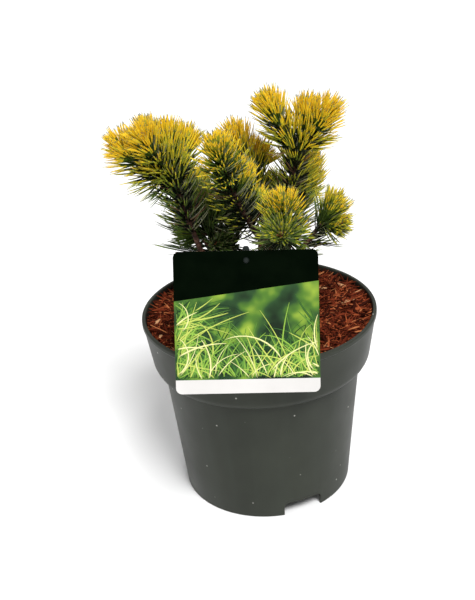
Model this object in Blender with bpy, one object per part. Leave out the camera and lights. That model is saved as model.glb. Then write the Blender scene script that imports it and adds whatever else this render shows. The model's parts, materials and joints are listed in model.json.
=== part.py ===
"""A golden dwarf mountain pine in its nursery pot, as a garden centre sells it.

The solids are the turned plastic pot, the bark mulch that fills it, the trunk, its boughs, one mass
of needles on each bough, and the square plant label on its stake. Metres, +Z up. The origin is the
middle of the pot's flat underside, and -Y is the side that carries the label.
"""

import math
import random
from collections import namedtuple

import bmesh
import bpy
from mathutils import Matrix, Vector, noise
from mathutils.kdtree import KDTree

# Clearance between neighbouring solids
GAP = 0.0003

# Pot: a three-litre container with a deep stacking collar
POT_HEIGHT = 0.157
RIM_RADIUS = 0.095
RIM_WIDTH = 0.0032
RIM_DEPTH = 0.0045
RIM_STEP = 0.0009
EDGE = 0.0008
COLLAR_DEPTH = 0.0425
COLLAR_FOOT_RADIUS = 0.0888
BODY_TOP_RADIUS = 0.0811
SKIRT_RADIUS = 0.0705
SKIRT_WALL = 0.0023
WALL = 0.0015
FLOOR = 0.0022
FLOOR_RISE = 0.0135
DISC_RADIUS = 0.050
RING_RADIUS = 0.057
TURNED_STEPS = 40

# Drainage: notches in the skirt, and round holes in the raised ring of the floor
NOTCH_COUNT = 3
NOTCH_BEARING = math.radians(-67)
NOTCH_DEPTH = 0.018
NOTCH_WIDTH = 0.033
NOTCH_HEIGHT = 0.0125
NOTCH_CORNER = 0.005
DRAIN_HOLES = 6
DRAIN_RADIUS = 0.0035

# Mulch: low at the wall and mounded towards the trunk
MULCH_EDGE = POT_HEIGHT - 0.0100
MULCH_TOP = POT_HEIGHT - 0.0010
MULCH_RINGS = (0.082, 0.066, 0.050, 0.034)
MULCH_LUMPS = 0.0012
LUMP_SCALE = 90
FOOT_PAD_RADIUS = 0.017

# Trunk
TRUNK_HEIGHT = 0.038
TRUNK_FOOT = Vector((0.003, 0.001, MULCH_TOP + GAP))
TRUNK_LEAN = Vector((-0.003, 0.003, TRUNK_HEIGHT))
TRUNK_BOW = Vector((0.0012, 0.0, 0.0))
TRUNK_RADIUS = 0.0072
FORK_RADIUS = 0.0058
FLARE = 0.0045
FLARE_HEIGHT = 0.007
FLARE_LOBES = 5
TRUNK_LEVELS = (0.0, 0.06, 0.16, 0.32, 0.54, 0.76, 0.92, 1.0)
TRUNK_SIDES = 14
DOME = 0.0016

# Boughs
BOUGH_SIDES = 6
BOUGH_STEPS = 6
KNEE_REACH = 0.62
KNEE_RISE = 0.42

# Twigs, buds and needles
TWIG_SIDES = 5
TWIG_RADIUS = 0.0025
CORE_RADIUS = 0.0042
SWELL_LENGTH = 0.016
TWIG_STEP = 0.012
TWIG_SAG = 0.12
BUD_LENGTH = 0.009
BARE_STEM = 0.004
NEEDLE_LENGTH = 0.030
NEEDLE_RADIUS = 0.0017
ROOT_SHARE = 0.45
NEEDLE_SPACING = 0.0025
NEEDLE_CLEARANCE = 0.0030
OLD_LENGTH = 0.045
OLD_LEAN = 60
YOUNG_LENGTH = 0.013
YOUNG_SHARE = 0.55
YOUNG_LEAN = 14
TUFT_NEEDLES = 5
TUFT_SHARE = 0.62
TUFT_LEAN = 26
LEAN_SPREAD = 7
TURN_SPREAD = 0.25
SIZE_RANGE = (0.90, 1.06)
BEND_ALONG = 0.14
BEND_UP = 0.10
GOLDEN_ANGLE = math.pi * (3 - math.sqrt(5))
SEED = 7

# Label and its stake
CARD_WIDTH = 0.105
CARD_HEIGHT = 0.1036
CARD_THICKNESS = 0.0008
CARD_CORNER = 0.0045
CARD_TILT = math.radians(22.8)
CARD_TURN = math.radians(2.1)
CARD_X = -0.0092
CARD_Z = 0.1871
HOLE_X = 0.0005
HOLE_BELOW_TOP = 0.0072
HOLE_RADIUS = 0.0020
BUTTON_RADIUS = 0.0023
BUTTON_HEIGHT = 0.0010
NECK_RADIUS = 0.0015
STAKE_WIDTH = 0.0052
STAKE_THICKNESS = 0.0018
STAKE_ABOVE_CARD = 0.0032
STAKE_BEND_BELOW_HOLE = 0.013
STAKE_IN_MULCH = 0.045
STAKE_POINT = 0.009

# A bough leaves the trunk at a height above the mulch, and ends at a reach and a height of its own.
# Bearings turn from +X towards +Y, and leans are from the vertical, both in degrees.
Bough = namedtuple("Bough", "leaves bearing reach height thick thin")
Twig = namedtuple("Twig", "parent share bearing lean length bare", defaults=(0,))

BOUGHS = {
    "centre_front": Bough(0.032, 293, 0.009, 0.061, 0.0026, 0.0021),
    "centre_back": Bough(0.034, 63, 0.016, 0.065, 0.0025, 0.0020),
    "right_tall": Bough(0.033, 24, 0.030, 0.082, 0.0026, 0.0021),
    "left": Bough(0.020, 188, 0.046, 0.056, 0.0026, 0.0021),
    "right_low": Bough(0.032, 352, 0.045, 0.063, 0.0024, 0.0019),
    "front": Bough(0.024, 304, 0.036, 0.064, 0.0024, 0.0019),
    "inner_left": Bough(0.030, 172, 0.035, 0.051, 0.0021, 0.0018),
    "inner_right": Bough(0.027, 65, 0.030, 0.057, 0.0021, 0.0018),
    "inner_back": Bough(0.022, 141, 0.027, 0.045, 0.0021, 0.0018),
    "back_left": Bough(0.012, 146, 0.057, 0.056, 0.0025, 0.0020),
    "back_right": Bough(0.012, 51, 0.051, 0.057, 0.0025, 0.0020),
    "back_low": Bough(0.016, 84, 0.044, 0.051, 0.0024, 0.0019),
}

# The first twig of a mass grows on from its bough, and each later one forks from an earlier one,
# at a share of its length. The last value is the bare length at its foot, where it has one.
FOLIAGE = {
    "centre_front": (
        Twig(None, 0, 224, 27, 0.068, 0.013),
        Twig(0, 0.97, 246, 27, 0.030),
        Twig(0, 0.75, 32, 20, 0.016),
        Twig(0, 0.42, 69, 73, 0.024),
    ),
    "centre_back": (
        Twig(None, 0, 122, 17, 0.047),
        Twig(0, 0.97, 196, 24, 0.031),
        Twig(0, 0.94, 48, 43, 0.014),
    ),
    "right_tall": (
        Twig(None, 0, 336, 12, 0.047),
        Twig(0, 0.90, 186, 26, 0.046, 0.004),
        Twig(0, 0.97, 340, 36, 0.040),
        Twig(0, 0.99, 28, 17, 0.030),
    ),
    "left": (
        Twig(None, 0, 207, 15, 0.067, 0.016),
        Twig(0, 0.90, 190, 48, 0.052),
        Twig(0, 0.99, 227, 34, 0.045),
        Twig(0, 0.99, 107, 19, 0.031),
        Twig(0, 0.95, 61, 39, 0.032),
        Twig(0, 0.97, 131, 44, 0.041),
    ),
    "right_low": (
        Twig(None, 0, 352, 33, 0.029),
        Twig(0, 0.40, 326, 74, 0.019),
    ),
    "front": (
        Twig(None, 0, 264, 14, 0.038),
        Twig(0, 0.40, 264, 71, 0.031),
    ),
    "inner_left": (
        Twig(None, 0, 133, 11, 0.042),
        Twig(0, 0.45, 321, 37, 0.023),
        Twig(0, 0.32, 188, 73, 0.016),
        Twig(0, 0.50, 95, 74, 0.013),
        Twig(0, 0.12, 288, 72, 0.015),
    ),
    "inner_right": (
        Twig(None, 0, 49, 9, 0.031),
        Twig(0, 0.35, 280, 60, 0.016),
    ),
    "inner_back": (
        Twig(None, 0, 93, 17, 0.035),
        Twig(0, 0.45, 358, 41, 0.016),
        Twig(0, 0.35, 232, 60, 0.014),
        Twig(0, 0.12, 259, 63, 0.024),
    ),
    "back_left": (
        Twig(None, 0, 146, 27, 0.047),
        Twig(0, 0.72, 100, 42, 0.026),
        Twig(0, 0.55, 60, 50, 0.022),
    ),
    "back_right": (
        Twig(None, 0, 40, 20, 0.046),
        Twig(0, 0.68, 100, 42, 0.026),
        Twig(0, 0.50, 70, 60, 0.020),
    ),
    "back_low": (
        Twig(None, 0, 79, 39, 0.036),
        Twig(0, 0.50, 130, 48, 0.024),
    ),
}


def start_empty():
    """Removes whatever the scene already holds."""
    for thing in list(bpy.data.objects):
        bpy.data.objects.remove(thing)


def material(name, colour, roughness, metallic=0.0):
    """A Principled material of one colour."""
    made = bpy.data.materials.new(name)
    made.use_nodes = True
    shader = made.node_tree.nodes["Principled BSDF"]
    shader.inputs["Base Color"].default_value = (*colour, 1.0)
    shader.inputs["Roughness"].default_value = roughness
    shader.inputs["Metallic"].default_value = metallic
    return made


def object_from(name, form, finish=None):
    """Turns a bmesh into a linked object, with its faces pointing out."""
    bmesh.ops.recalc_face_normals(form, faces=form.faces)
    mesh = bpy.data.meshes.new(name)
    form.to_mesh(mesh)
    form.free()
    made = bpy.data.objects.new(name, mesh)
    bpy.context.scene.collection.objects.link(made)
    if finish:
        mesh.materials.append(finish)
    return made


def as_cutter(thing):
    """Hides a helper from the model."""
    thing.hide_render = True
    thing.display_type = "WIRE"
    return thing


def boolean(thing, operation, other):
    """Adds a Boolean modifier that stays live on the object."""
    step = thing.modifiers.new(f"{operation.lower()}_{other.name}", "BOOLEAN")
    step.operation = operation
    step.object = other


def apply_modifiers(thing):
    """Replaces the object's mesh by what its modifiers make of it."""
    graph = bpy.context.evaluated_depsgraph_get()
    result = bpy.data.meshes.new_from_object(thing.evaluated_get(graph))
    old = thing.data
    thing.modifiers.clear()
    thing.data = result
    bpy.data.meshes.remove(old)


def new_collection(name):
    made = bpy.data.collections.new(name)
    bpy.context.scene.collection.children.link(made)
    return made


def move_to(collection, thing):
    """Takes an object out of the scene's own collection and into another one."""
    bpy.context.scene.collection.objects.unlink(thing)
    collection.objects.link(thing)


def remove_collection(collection):
    for thing in list(collection.objects):
        bpy.data.objects.remove(thing)
    bpy.data.collections.remove(collection)


def smooth(thing, angle=math.radians(35)):
    """Shades round walls smooth and keeps the real edges sharp."""
    thing.data.shade_smooth()
    thing.data.set_sharp_from_angle(angle=angle)


def drop_scraps(thing):
    """Keeps the largest of the pieces that a cut left, and removes the others."""
    form = bmesh.new()
    form.from_mesh(thing.data)
    form.verts.ensure_lookup_table()
    unseen = set(form.verts)
    islands = []
    while unseen:
        island = {unseen.pop()}
        edge_of_island = list(island)
        while edge_of_island:
            for edge in edge_of_island.pop().link_edges:
                for vertex in edge.verts:
                    if vertex in unseen:
                        unseen.remove(vertex)
                        island.add(vertex)
                        edge_of_island.append(vertex)
        islands.append(island)
    islands.sort(key=len)
    for island in islands[:-1]:
        bmesh.ops.delete(form, geom=list(island), context="VERTS")
    form.to_mesh(thing.data)
    form.free()


def square_to(direction):
    """Two unit vectors at right angles to a direction and to each other."""
    side = direction.cross(Vector((0.31, -0.17, 0.93))).normalized()
    return side, direction.cross(side)


def add_ring(form, centre, direction, radius, sides):
    """A ring of new vertices round a centre."""
    side, other = square_to(direction)
    angles = [2 * math.pi * i / sides for i in range(sides)]
    return [
        form.verts.new(centre + radius * (math.cos(a) * side + math.sin(a) * other))
        for a in angles
    ]


def join_rings(form, rings):
    """Walls between neighbouring rings of equal count."""
    for low, high in zip(rings, rings[1:]):
        count = len(low)
        for i in range(count):
            following = (i + 1) % count
            form.faces.new((low[i], low[following], high[following], high[i]))


def join_point(form, ring, point):
    """A fan of faces from a ring to one point."""
    apex = form.verts.new(point)
    for i, vertex in enumerate(ring):
        form.faces.new((vertex, ring[(i + 1) % len(ring)], apex))


# Pot


def pot_outside():
    """The outer wall as (radius, height) points, from the foot of the skirt to the rim's top."""
    collar_foot = POT_HEIGHT - COLLAR_DEPTH
    rim_foot = POT_HEIGHT - RIM_DEPTH
    return [
        (SKIRT_RADIUS - EDGE, 0.0),
        (SKIRT_RADIUS, EDGE),
        (BODY_TOP_RADIUS, collar_foot - EDGE),
        (COLLAR_FOOT_RADIUS - 3 * EDGE, collar_foot),
        (COLLAR_FOOT_RADIUS, collar_foot + 3 * EDGE),
        (RIM_RADIUS - RIM_STEP, rim_foot),
        (RIM_RADIUS, rim_foot + EDGE),
        (RIM_RADIUS, POT_HEIGHT - EDGE),
        (RIM_RADIUS - EDGE, POT_HEIGHT),
    ]


def pot_inside():
    """The inner wall, from the floor to the rim's top."""
    collar_floor = POT_HEIGHT - COLLAR_DEPTH + WALL
    widening = (BODY_TOP_RADIUS - SKIRT_RADIUS) / (POT_HEIGHT - COLLAR_DEPTH)
    wall_foot = SKIRT_RADIUS + FLOOR_RISE * widening - WALL
    return [
        (wall_foot, FLOOR_RISE + FLOOR),
        (BODY_TOP_RADIUS - WALL, collar_floor),
        (COLLAR_FOOT_RADIUS - WALL - 2 * EDGE, collar_floor + EDGE),
        (COLLAR_FOOT_RADIUS - WALL, collar_floor + 3 * EDGE),
        (RIM_RADIUS - RIM_STEP - WALL, POT_HEIGHT - RIM_DEPTH - EDGE),
        (RIM_RADIUS - RIM_WIDTH, POT_HEIGHT - RIM_DEPTH),
        (RIM_RADIUS - RIM_WIDTH, POT_HEIGHT),
    ]


def pot_floor(lift):
    """The floor from the axis outwards: a flat disc, a slope, and a raised ring."""
    inset = lift * 0.4
    return [
        (0.0, lift),
        (DISC_RADIUS - inset, lift),
        (RING_RADIUS - inset, FLOOR_RISE + lift),
    ]


def turned(name, outline, finish):
    """Spins a (radius, height) outline that starts and ends on the axis."""
    form = bmesh.new()
    points = [form.verts.new((radius, 0, height)) for radius, height in outline]
    edges = [form.edges.new(pair) for pair in zip(points, points[1:])]
    bmesh.ops.spin(
        form,
        geom=points + edges,
        cent=(0, 0, 0),
        axis=(0, 0, 1),
        angle=2 * math.pi,
        steps=TURNED_STEPS,
        use_merge=True,
    )
    bmesh.ops.remove_doubles(form, verts=form.verts, dist=1e-6)
    made = object_from(name, form, finish)
    smooth(made)
    return made


def notch_cutter(number):
    """A block with two rounded upper corners that opens the foot of the skirt."""
    bearing = NOTCH_BEARING + number * 2 * math.pi / NOTCH_COUNT
    form = bmesh.new()
    bmesh.ops.create_cube(form, size=1.0)
    size = (NOTCH_DEPTH, NOTCH_WIDTH, 2 * NOTCH_HEIGHT)
    bmesh.ops.scale(form, vec=size, verts=form.verts)
    upper_ends = [
        edge
        for edge in form.edges
        if all(vertex.co.z > 0 for vertex in edge.verts)
        and abs(edge.verts[0].co.y - edge.verts[1].co.y) < EDGE
    ]
    bmesh.ops.bevel(
        form, geom=upper_ends, offset=NOTCH_CORNER, segments=3, profile=0.5, affect="EDGES"
    )
    cutter = object_from(f"notch_cutter_{number}", form)
    cutter.location = SKIRT_RADIUS * Vector((math.cos(bearing), math.sin(bearing), 0))
    cutter.rotation_euler = (0, 0, bearing)
    return as_cutter(cutter)


def drain_cutter(number):
    """A pin that bores one drain hole through the raised ring of the floor."""
    bearing = (number + 0.5) * 2 * math.pi / DRAIN_HOLES
    middle_of_ring = (RING_RADIUS + SKIRT_RADIUS - SKIRT_WALL) / 2
    form = bmesh.new()
    bmesh.ops.create_cone(
        form,
        cap_ends=True,
        segments=10,
        radius1=DRAIN_RADIUS,
        radius2=DRAIN_RADIUS,
        depth=3 * FLOOR,
    )
    cutter = object_from(f"drain_cutter_{number}", form)
    cutter.location = middle_of_ring * Vector((math.cos(bearing), math.sin(bearing), 0))
    cutter.location.z = FLOOR_RISE + FLOOR / 2
    return as_cutter(cutter)


def build_pot(finish):
    inside_of_skirt = SKIRT_RADIUS - SKIRT_WALL
    under = pot_floor(0.0) + [(inside_of_skirt, FLOOR_RISE), (inside_of_skirt, 0.0)]
    outline = under + pot_outside() + pot_inside()[::-1] + pot_floor(FLOOR)[::-1]
    pot = turned("pot", outline, finish)
    for number in range(NOTCH_COUNT):
        boolean(pot, "DIFFERENCE", notch_cutter(number))
    for number in range(DRAIN_HOLES):
        boolean(pot, "DIFFERENCE", drain_cutter(number))


# Mulch


def mulch_outline():
    """The root ball a gap clear of the pot, and the mulch falling from the trunk to the wall."""
    inside = pot_inside()
    wall = [(radius - GAP, height + GAP) for radius, height in inside[:4]]
    upper_slope = (inside[4][0] - inside[3][0]) / (inside[4][1] - inside[3][1])
    edge_radius = inside[3][0] + (MULCH_EDGE - inside[3][1]) * upper_slope - GAP
    top = [(edge_radius, MULCH_EDGE)]
    for radius in MULCH_RINGS:
        share = (radius - FOOT_PAD_RADIUS) / (edge_radius - FOOT_PAD_RADIUS)
        top.append((radius, MULCH_TOP - (MULCH_TOP - MULCH_EDGE) * share * share))
    top += [(FOOT_PAD_RADIUS, MULCH_TOP), (0.0, MULCH_TOP)]
    return pot_floor(FLOOR + GAP) + wall + top


def build_mulch(finish):
    """The root ball and its mulch, with a slot for the label's stake."""
    mulch = turned("mulch", mulch_outline(), finish)
    for point in mulch.data.vertices:
        on_slope = MULCH_EDGE + EDGE < point.co.z < MULCH_TOP - GAP
        if on_slope:
            point.co.z += MULCH_LUMPS * noise.noise(point.co * LUMP_SCALE)
    boolean(mulch, "DIFFERENCE", as_cutter(stake_bar("stake_slot", grown=GAP)))


# Trunk and boughs


class Arc:
    """A curve from start to end that passes through a middle point half way along."""

    def __init__(self, start, middle, end):
        self.start = start
        self.end = end
        self.pull = 2 * middle - (start + end) / 2

    def point(self, t):
        s = 1 - t
        return s * s * self.start + 2 * s * t * self.pull + t * t * self.end

    def direction(self, t):
        rise = (1 - t) * (self.pull - self.start) + t * (self.end - self.pull)
        return rise.normalized()

    def length(self):
        points = [self.point(i / 24) for i in range(25)]
        return sum((b - a).length for a, b in zip(points, points[1:]))

    def close_points(self, step=0.002):
        """Points along the curve, close enough together to measure distances to it."""
        count = max(2, math.ceil(self.length() / step))
        return [self.point(i / count) for i in range(count + 1)]


def trunk_arc():
    top = TRUNK_FOOT + TRUNK_LEAN
    return Arc(TRUNK_FOOT, (TRUNK_FOOT + top) / 2 + TRUNK_BOW, top)


def trunk_form(grown=0.0):
    """The short trunk, from its flared foot on the mulch to its rounded fork."""
    arc = trunk_arc()
    form = bmesh.new()
    rings = []
    for t in TRUNK_LEVELS:
        centre = arc.point(t)
        radius = TRUNK_RADIUS + (FORK_RADIUS - TRUNK_RADIUS) * t
        flare = FLARE * math.exp(-t * TRUNK_HEIGHT / FLARE_HEIGHT)
        rounding = 0.72 if t == 1 else 1.0
        ring = add_ring(form, centre, Vector((0, 0, 1)), radius, TRUNK_SIDES)
        for vertex in ring:
            outward = vertex.co - centre
            lobe = math.cos(FLARE_LOBES * math.atan2(outward.y, outward.x))
            size = (radius + flare * (1 + 0.5 * lobe)) * rounding + grown
            vertex.co = centre + outward.normalized() * size
        rings.append(ring)
    join_rings(form, rings)
    form.faces.new(rings[0])
    join_point(form, rings[-1], arc.end + Vector((0, 0, DOME + grown)))
    return form


def bearing_vector(bearing):
    angle = math.radians(bearing)
    return Vector((math.cos(angle), math.sin(angle), 0))


def bough_arc(bough):
    """A bough's curve: out of the trunk at its own height, then up over its knee."""
    start = trunk_arc().point(bough.leaves / TRUNK_HEIGHT)
    outward = bearing_vector(bough.bearing) * bough.reach
    upward = Vector((0, 0, TRUNK_FOOT.z + bough.height - start.z))
    knee = start + KNEE_REACH * outward + KNEE_RISE * upward
    return Arc(start, knee, start + outward + upward)


def bough_form(bough, grown=0.0):
    """A tapering limb with flat ends."""
    arc = bough_arc(bough)
    form = bmesh.new()
    rings = []
    for i in range(BOUGH_STEPS + 1):
        t = i / BOUGH_STEPS
        radius = bough.thick + (bough.thin - bough.thick) * t + grown
        rings.append(add_ring(form, arc.point(t), arc.direction(t), radius, BOUGH_SIDES))
    join_rings(form, rings)
    form.faces.new(rings[0])
    form.faces.new(rings[-1])
    return form


def build_trunk_and_boughs(finish):
    """Each bough is cut a gap clear of the trunk and of the boughs made before it."""
    smooth(object_from("trunk", trunk_form(), finish))
    taken = new_collection("room_of_limbs")
    move_to(taken, object_from("room_of_trunk", trunk_form(grown=GAP)))
    for name, bough in BOUGHS.items():
        limb = object_from(f"bough_{name}", bough_form(bough), finish)
        seat = limb.modifiers.new("seat", "BOOLEAN")
        seat.operation = "DIFFERENCE"
        seat.operand_type = "COLLECTION"
        seat.collection = taken
        apply_modifiers(limb)
        drop_scraps(limb)
        smooth(limb)
        move_to(taken, object_from(f"room_of_{name}", bough_form(bough, grown=GAP)))
    remove_collection(taken)


# Foliage


def twig_arcs(name):
    """The curves of a mass's twigs, the first of them a gap beyond its bough's end."""
    bough = bough_arc(BOUGHS[name])
    arcs = []
    for twig in FOLIAGE[name]:
        if twig.parent is None:
            start = bough.end + bough.direction(1) * GAP
        else:
            start = arcs[twig.parent].point(twig.share)
        lean = math.radians(twig.lean)
        way = math.sin(lean) * bearing_vector(twig.bearing) + Vector((0, 0, math.cos(lean)))
        end = start + way * twig.length
        sag = Vector((0, 0, -TWIG_SAG * twig.length * math.sin(lean)))
        arcs.append(Arc(start, (start + end) / 2 + sag, end))
    return arcs


def tree_of(points):
    """A tree that finds the nearest of the points."""
    tree = KDTree(len(points))
    for index, point in enumerate(points):
        tree.insert(point, index)
    tree.balance()
    return tree


class Spaces:
    """Knows which places each mass may fill."""

    def __init__(self, arcs_of_masses):
        self.masses = {}
        for name, arcs in arcs_of_masses.items():
            points = [point for arc in arcs for point in arc.close_points()]
            self.masses[name] = tree_of(points)
        reach = NEEDLE_RADIUS + 2 * GAP
        self.limbs = [(tree_of(trunk_arc().close_points()), TRUNK_RADIUS + reach)]
        for bough in BOUGHS.values():
            self.limbs.append((tree_of(bough_arc(bough).close_points()), bough.thick + reach))
        self.limbs.append((tree_of(stake_points()), STAKE_WIDTH / 2 + STAKE_THICKNESS + reach))
        self.to_card = card_frame().inverted()

    def own(self, name, point):
        """True nearer to the mass's own twigs than to any other mass's, by the clearance."""
        near = self.masses[name].find(point)[2] + NEEDLE_CLEARANCE
        others = [tree for other, tree in self.masses.items() if other != name]
        return all(tree.find(point)[2] > near for tree in others)

    def clear_of_limbs(self, point):
        return all(tree.find(point)[2] > room for tree, room in self.limbs)

    def clear_of_pot(self, point):
        outside = math.hypot(point.x, point.y) > RIM_RADIUS + 2 * NEEDLE_RADIUS
        return outside or point.z > POT_HEIGHT + 3 * NEEDLE_RADIUS

    def clear_of_card(self, point):
        """True behind the card, or past its edges."""
        place = self.to_card @ point
        margin = 2 * NEEDLE_RADIUS
        past_side = abs(place.x) > CARD_WIDTH / 2 + margin
        past_top = place.y > CARD_HEIGHT / 2 + STAKE_ABOVE_CARD + margin
        return past_side or past_top or place.z < -STAKE_THICKNESS - margin

    def admits(self, name, point):
        clear = self.clear_of_limbs(point) and self.clear_of_pot(point)
        return clear and self.clear_of_card(point) and self.own(name, point)


def needle_places(arc, bare, has_bud, rng):
    """Where needles leave a twig and how they lean: wide where they are old, and close and short
    where they are young, towards its bud."""
    length = arc.length()
    count = round((length - bare) / NEEDLE_SPACING)
    for i in range(count):
        along = bare + (length - bare) * (i + 0.5) / count
        to_tip = length - along if has_bud else OLD_LENGTH
        old = min(1.0, to_tip / OLD_LENGTH)
        lean = YOUNG_LEAN + (OLD_LEAN - YOUNG_LEAN) * old + rng.uniform(-LEAN_SPREAD, LEAN_SPREAD)
        grown = YOUNG_SHARE + (1 - YOUNG_SHARE) * min(1.0, to_tip / YOUNG_LENGTH)
        size = NEEDLE_LENGTH * grown * rng.uniform(*SIZE_RANGE)
        turn = i * GOLDEN_ANGLE + rng.uniform(-TURN_SPREAD, TURN_SPREAD)
        yield along / length, lean, turn, size


def tuft_places(rng):
    """The needles that stand close round a bud."""
    for i in range(TUFT_NEEDLES):
        lean = TUFT_LEAN * math.sqrt(i / TUFT_NEEDLES)
        size = NEEDLE_LENGTH * TUFT_SHARE * rng.uniform(*SIZE_RANGE)
        yield 1.0, lean, i * GOLDEN_ANGLE, size


def needle_line(arc, t, lean, turn, size):
    """Root, middle and tip of one needle, which bends a little towards the light."""
    lean = math.radians(lean)
    along = arc.direction(t)
    side, other = square_to(along)
    way = math.cos(lean) * along + math.sin(lean) * (math.cos(turn) * side + math.sin(turn) * other)
    root = arc.point(t)
    middle = root + way * size / 2
    bent = (way + BEND_ALONG * along + Vector((0, 0, BEND_UP))).normalized()
    return root, middle, middle + bent * size / 2


def fits(name, line, spaces):
    """True if the needle keeps to its mass's space and touches no limb."""
    root, middle, tip = line
    checked = [root.lerp(middle, 0.5), middle, middle.lerp(tip, 0.5), tip]
    return all(spaces.admits(name, point) for point in checked)


def needle_form(root, middle, tip):
    """A slim three-sided needle, widest at its middle, rooted at the twig's axis."""
    first = (middle - root).normalized()
    second = (tip - middle).normalized()
    form = bmesh.new()
    low = add_ring(form, root + first * NEEDLE_RADIUS / 2, first, NEEDLE_RADIUS * ROOT_SHARE, 3)
    high = add_ring(form, middle, (first + second).normalized(), NEEDLE_RADIUS, 3)
    join_rings(form, [low, high])
    form.faces.new(low)
    join_point(form, high, tip)
    return form


def twig_form(arc, bare, foot_direction, has_bud):
    """A slim core along one twig, closed by its bud or by a blunt point."""
    form = bmesh.new()
    steps = max(2, round(arc.length() / TWIG_STEP))
    rings = []
    for i in range(steps + 1):
        t = i / steps
        swell = min(1.0, max(0.0, t * arc.length() - bare) / SWELL_LENGTH)
        radius = TWIG_RADIUS + (CORE_RADIUS - TWIG_RADIUS) * swell
        direction = arc.direction(t) if i else foot_direction
        rings.append(add_ring(form, arc.point(t), direction, radius, TWIG_SIDES))
    along = arc.direction(1)
    point = arc.end + along * (BUD_LENGTH if has_bud else CORE_RADIUS)
    join_rings(form, rings)
    form.faces.new(rings[0])
    join_point(form, rings[-1], point)
    return form


def build_mass(name, arcs, spaces, finish):
    """One mass: its twigs and the needles that keep to its space, fused into one solid."""
    rng = random.Random(f"{SEED} {name}")
    parts = new_collection(f"parts_of_{name}")
    bough_way = bough_arc(BOUGHS[name]).direction(1)
    mass = None
    for number, (arc, plan) in enumerate(zip(arcs, FOLIAGE[name])):
        is_stem = number == 0
        has_bud = not is_stem or len(arcs) == 1
        bare = max(plan.bare, BARE_STEM if is_stem else 0.0)
        foot = bough_way if is_stem else arc.direction(0)
        twig = object_from(f"{name}_twig", twig_form(arc, bare, foot, has_bud))
        if is_stem:
            mass = twig
        else:
            move_to(parts, twig)
        places = list(needle_places(arc, bare, has_bud, rng))
        if has_bud:
            places += tuft_places(rng)
        lines = [needle_line(arc, *place) for place in places]
        for line in lines:
            if fits(name, line, spaces):
                move_to(parts, object_from(f"{name}_needle", needle_form(*line)))
    mass.name = f"foliage_{name}"
    fuse = mass.modifiers.new("fuse", "BOOLEAN")
    fuse.operation = "UNION"
    fuse.solver = "MANIFOLD"
    fuse.operand_type = "COLLECTION"
    fuse.collection = parts
    apply_modifiers(mass)
    remove_collection(parts)
    drop_scraps(mass)
    mass.data.materials.clear()
    mass.data.materials.append(finish)


def build_foliage(finish):
    arcs_of_masses = {name: twig_arcs(name) for name in FOLIAGE}
    spaces = Spaces(arcs_of_masses)
    for name, arcs in arcs_of_masses.items():
        build_mass(name, arcs, spaces, finish)


# Label


def card_frame():
    """The card's frame: X across it, Y up it, Z out of its face. Its back leans on the rim."""
    upright = Matrix.Rotation(math.pi / 2 - CARD_TILT, 4, "X")
    turn = upright @ Matrix.Rotation(-CARD_TURN, 4, "Z")
    face = turn.col[2].xyz
    rim = Vector((0, -RIM_RADIUS, POT_HEIGHT - EDGE))
    behind = CARD_THICKNESS / 2 + GAP
    card_y = rim.y + (behind + (rim.z - CARD_Z) * face.z) / face.y
    return Matrix.Translation((CARD_X, card_y, CARD_Z)) @ turn


def stake_points():
    """The stake's middle line: down the card's back, bending to go straight into the mulch."""
    frame = card_frame()
    behind = -(CARD_THICKNESS / 2 + GAP + STAKE_THICKNESS / 2)
    hole_y = CARD_HEIGHT / 2 - HOLE_BELOW_TOP
    head_y = CARD_HEIGHT / 2 + STAKE_ABOVE_CARD
    bend = frame @ Vector((HOLE_X, hole_y - STAKE_BEND_BELOW_HOLE, behind))
    below_bend = bend + Vector((0, -0.0015, -0.008))
    foot = Vector((bend.x, below_bend.y, MULCH_EDGE - STAKE_IN_MULCH))
    return [
        frame @ Vector((HOLE_X, head_y, behind)),
        frame @ Vector((HOLE_X, head_y - STAKE_WIDTH * 0.12, behind)),
        frame @ Vector((HOLE_X, head_y - STAKE_WIDTH * 0.45, behind)),
        bend,
        below_bend,
        foot + Vector((0, 0, STAKE_POINT)),
        foot,
    ]


def stake_bar(name, grown=0.0, finish=None):
    """The flat bar of the stake, with a round head and a pointed foot."""
    points = stake_points()
    half_widths = [STAKE_WIDTH * share for share in (0.22, 0.38, 0.5, 0.5, 0.5, 0.5, 0.14)]
    across = card_frame().col[0].xyz
    form = bmesh.new()
    rings = []
    for i, point in enumerate(points):
        before = points[max(i - 1, 0)]
        after = points[min(i + 1, len(points) - 1)]
        way = (after - before).normalized()
        through = across.cross(way).normalized()
        wide = through.cross(way) * (half_widths[i] + grown)
        thick = through * (STAKE_THICKNESS / 2 + grown)
        stretch = -grown * way if i == 0 else grown * way * (i == len(points) - 1)
        corners = (wide + thick, wide - thick, -wide - thick, -wide + thick)
        rings.append([form.verts.new(point + stretch + corner) for corner in corners])
    join_rings(form, rings)
    form.faces.new(rings[0])
    form.faces.new(rings[-1])
    return object_from(name, form, finish)


def peg(name, radius, low, high, top_radius, sides=12):
    """A round peg on the axis of the card's hole, between two heights above the card's middle."""
    form = bmesh.new()
    bmesh.ops.create_cone(
        form,
        cap_ends=True,
        segments=sides,
        radius1=radius,
        radius2=top_radius,
        depth=high - low,
    )
    made = object_from(name, form)
    hole_y = CARD_HEIGHT / 2 - HOLE_BELOW_TOP
    place = Vector((HOLE_X, hole_y, (low + high) / 2))
    made.matrix_world = card_frame() @ Matrix.Translation(place)
    return as_cutter(made)


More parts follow.
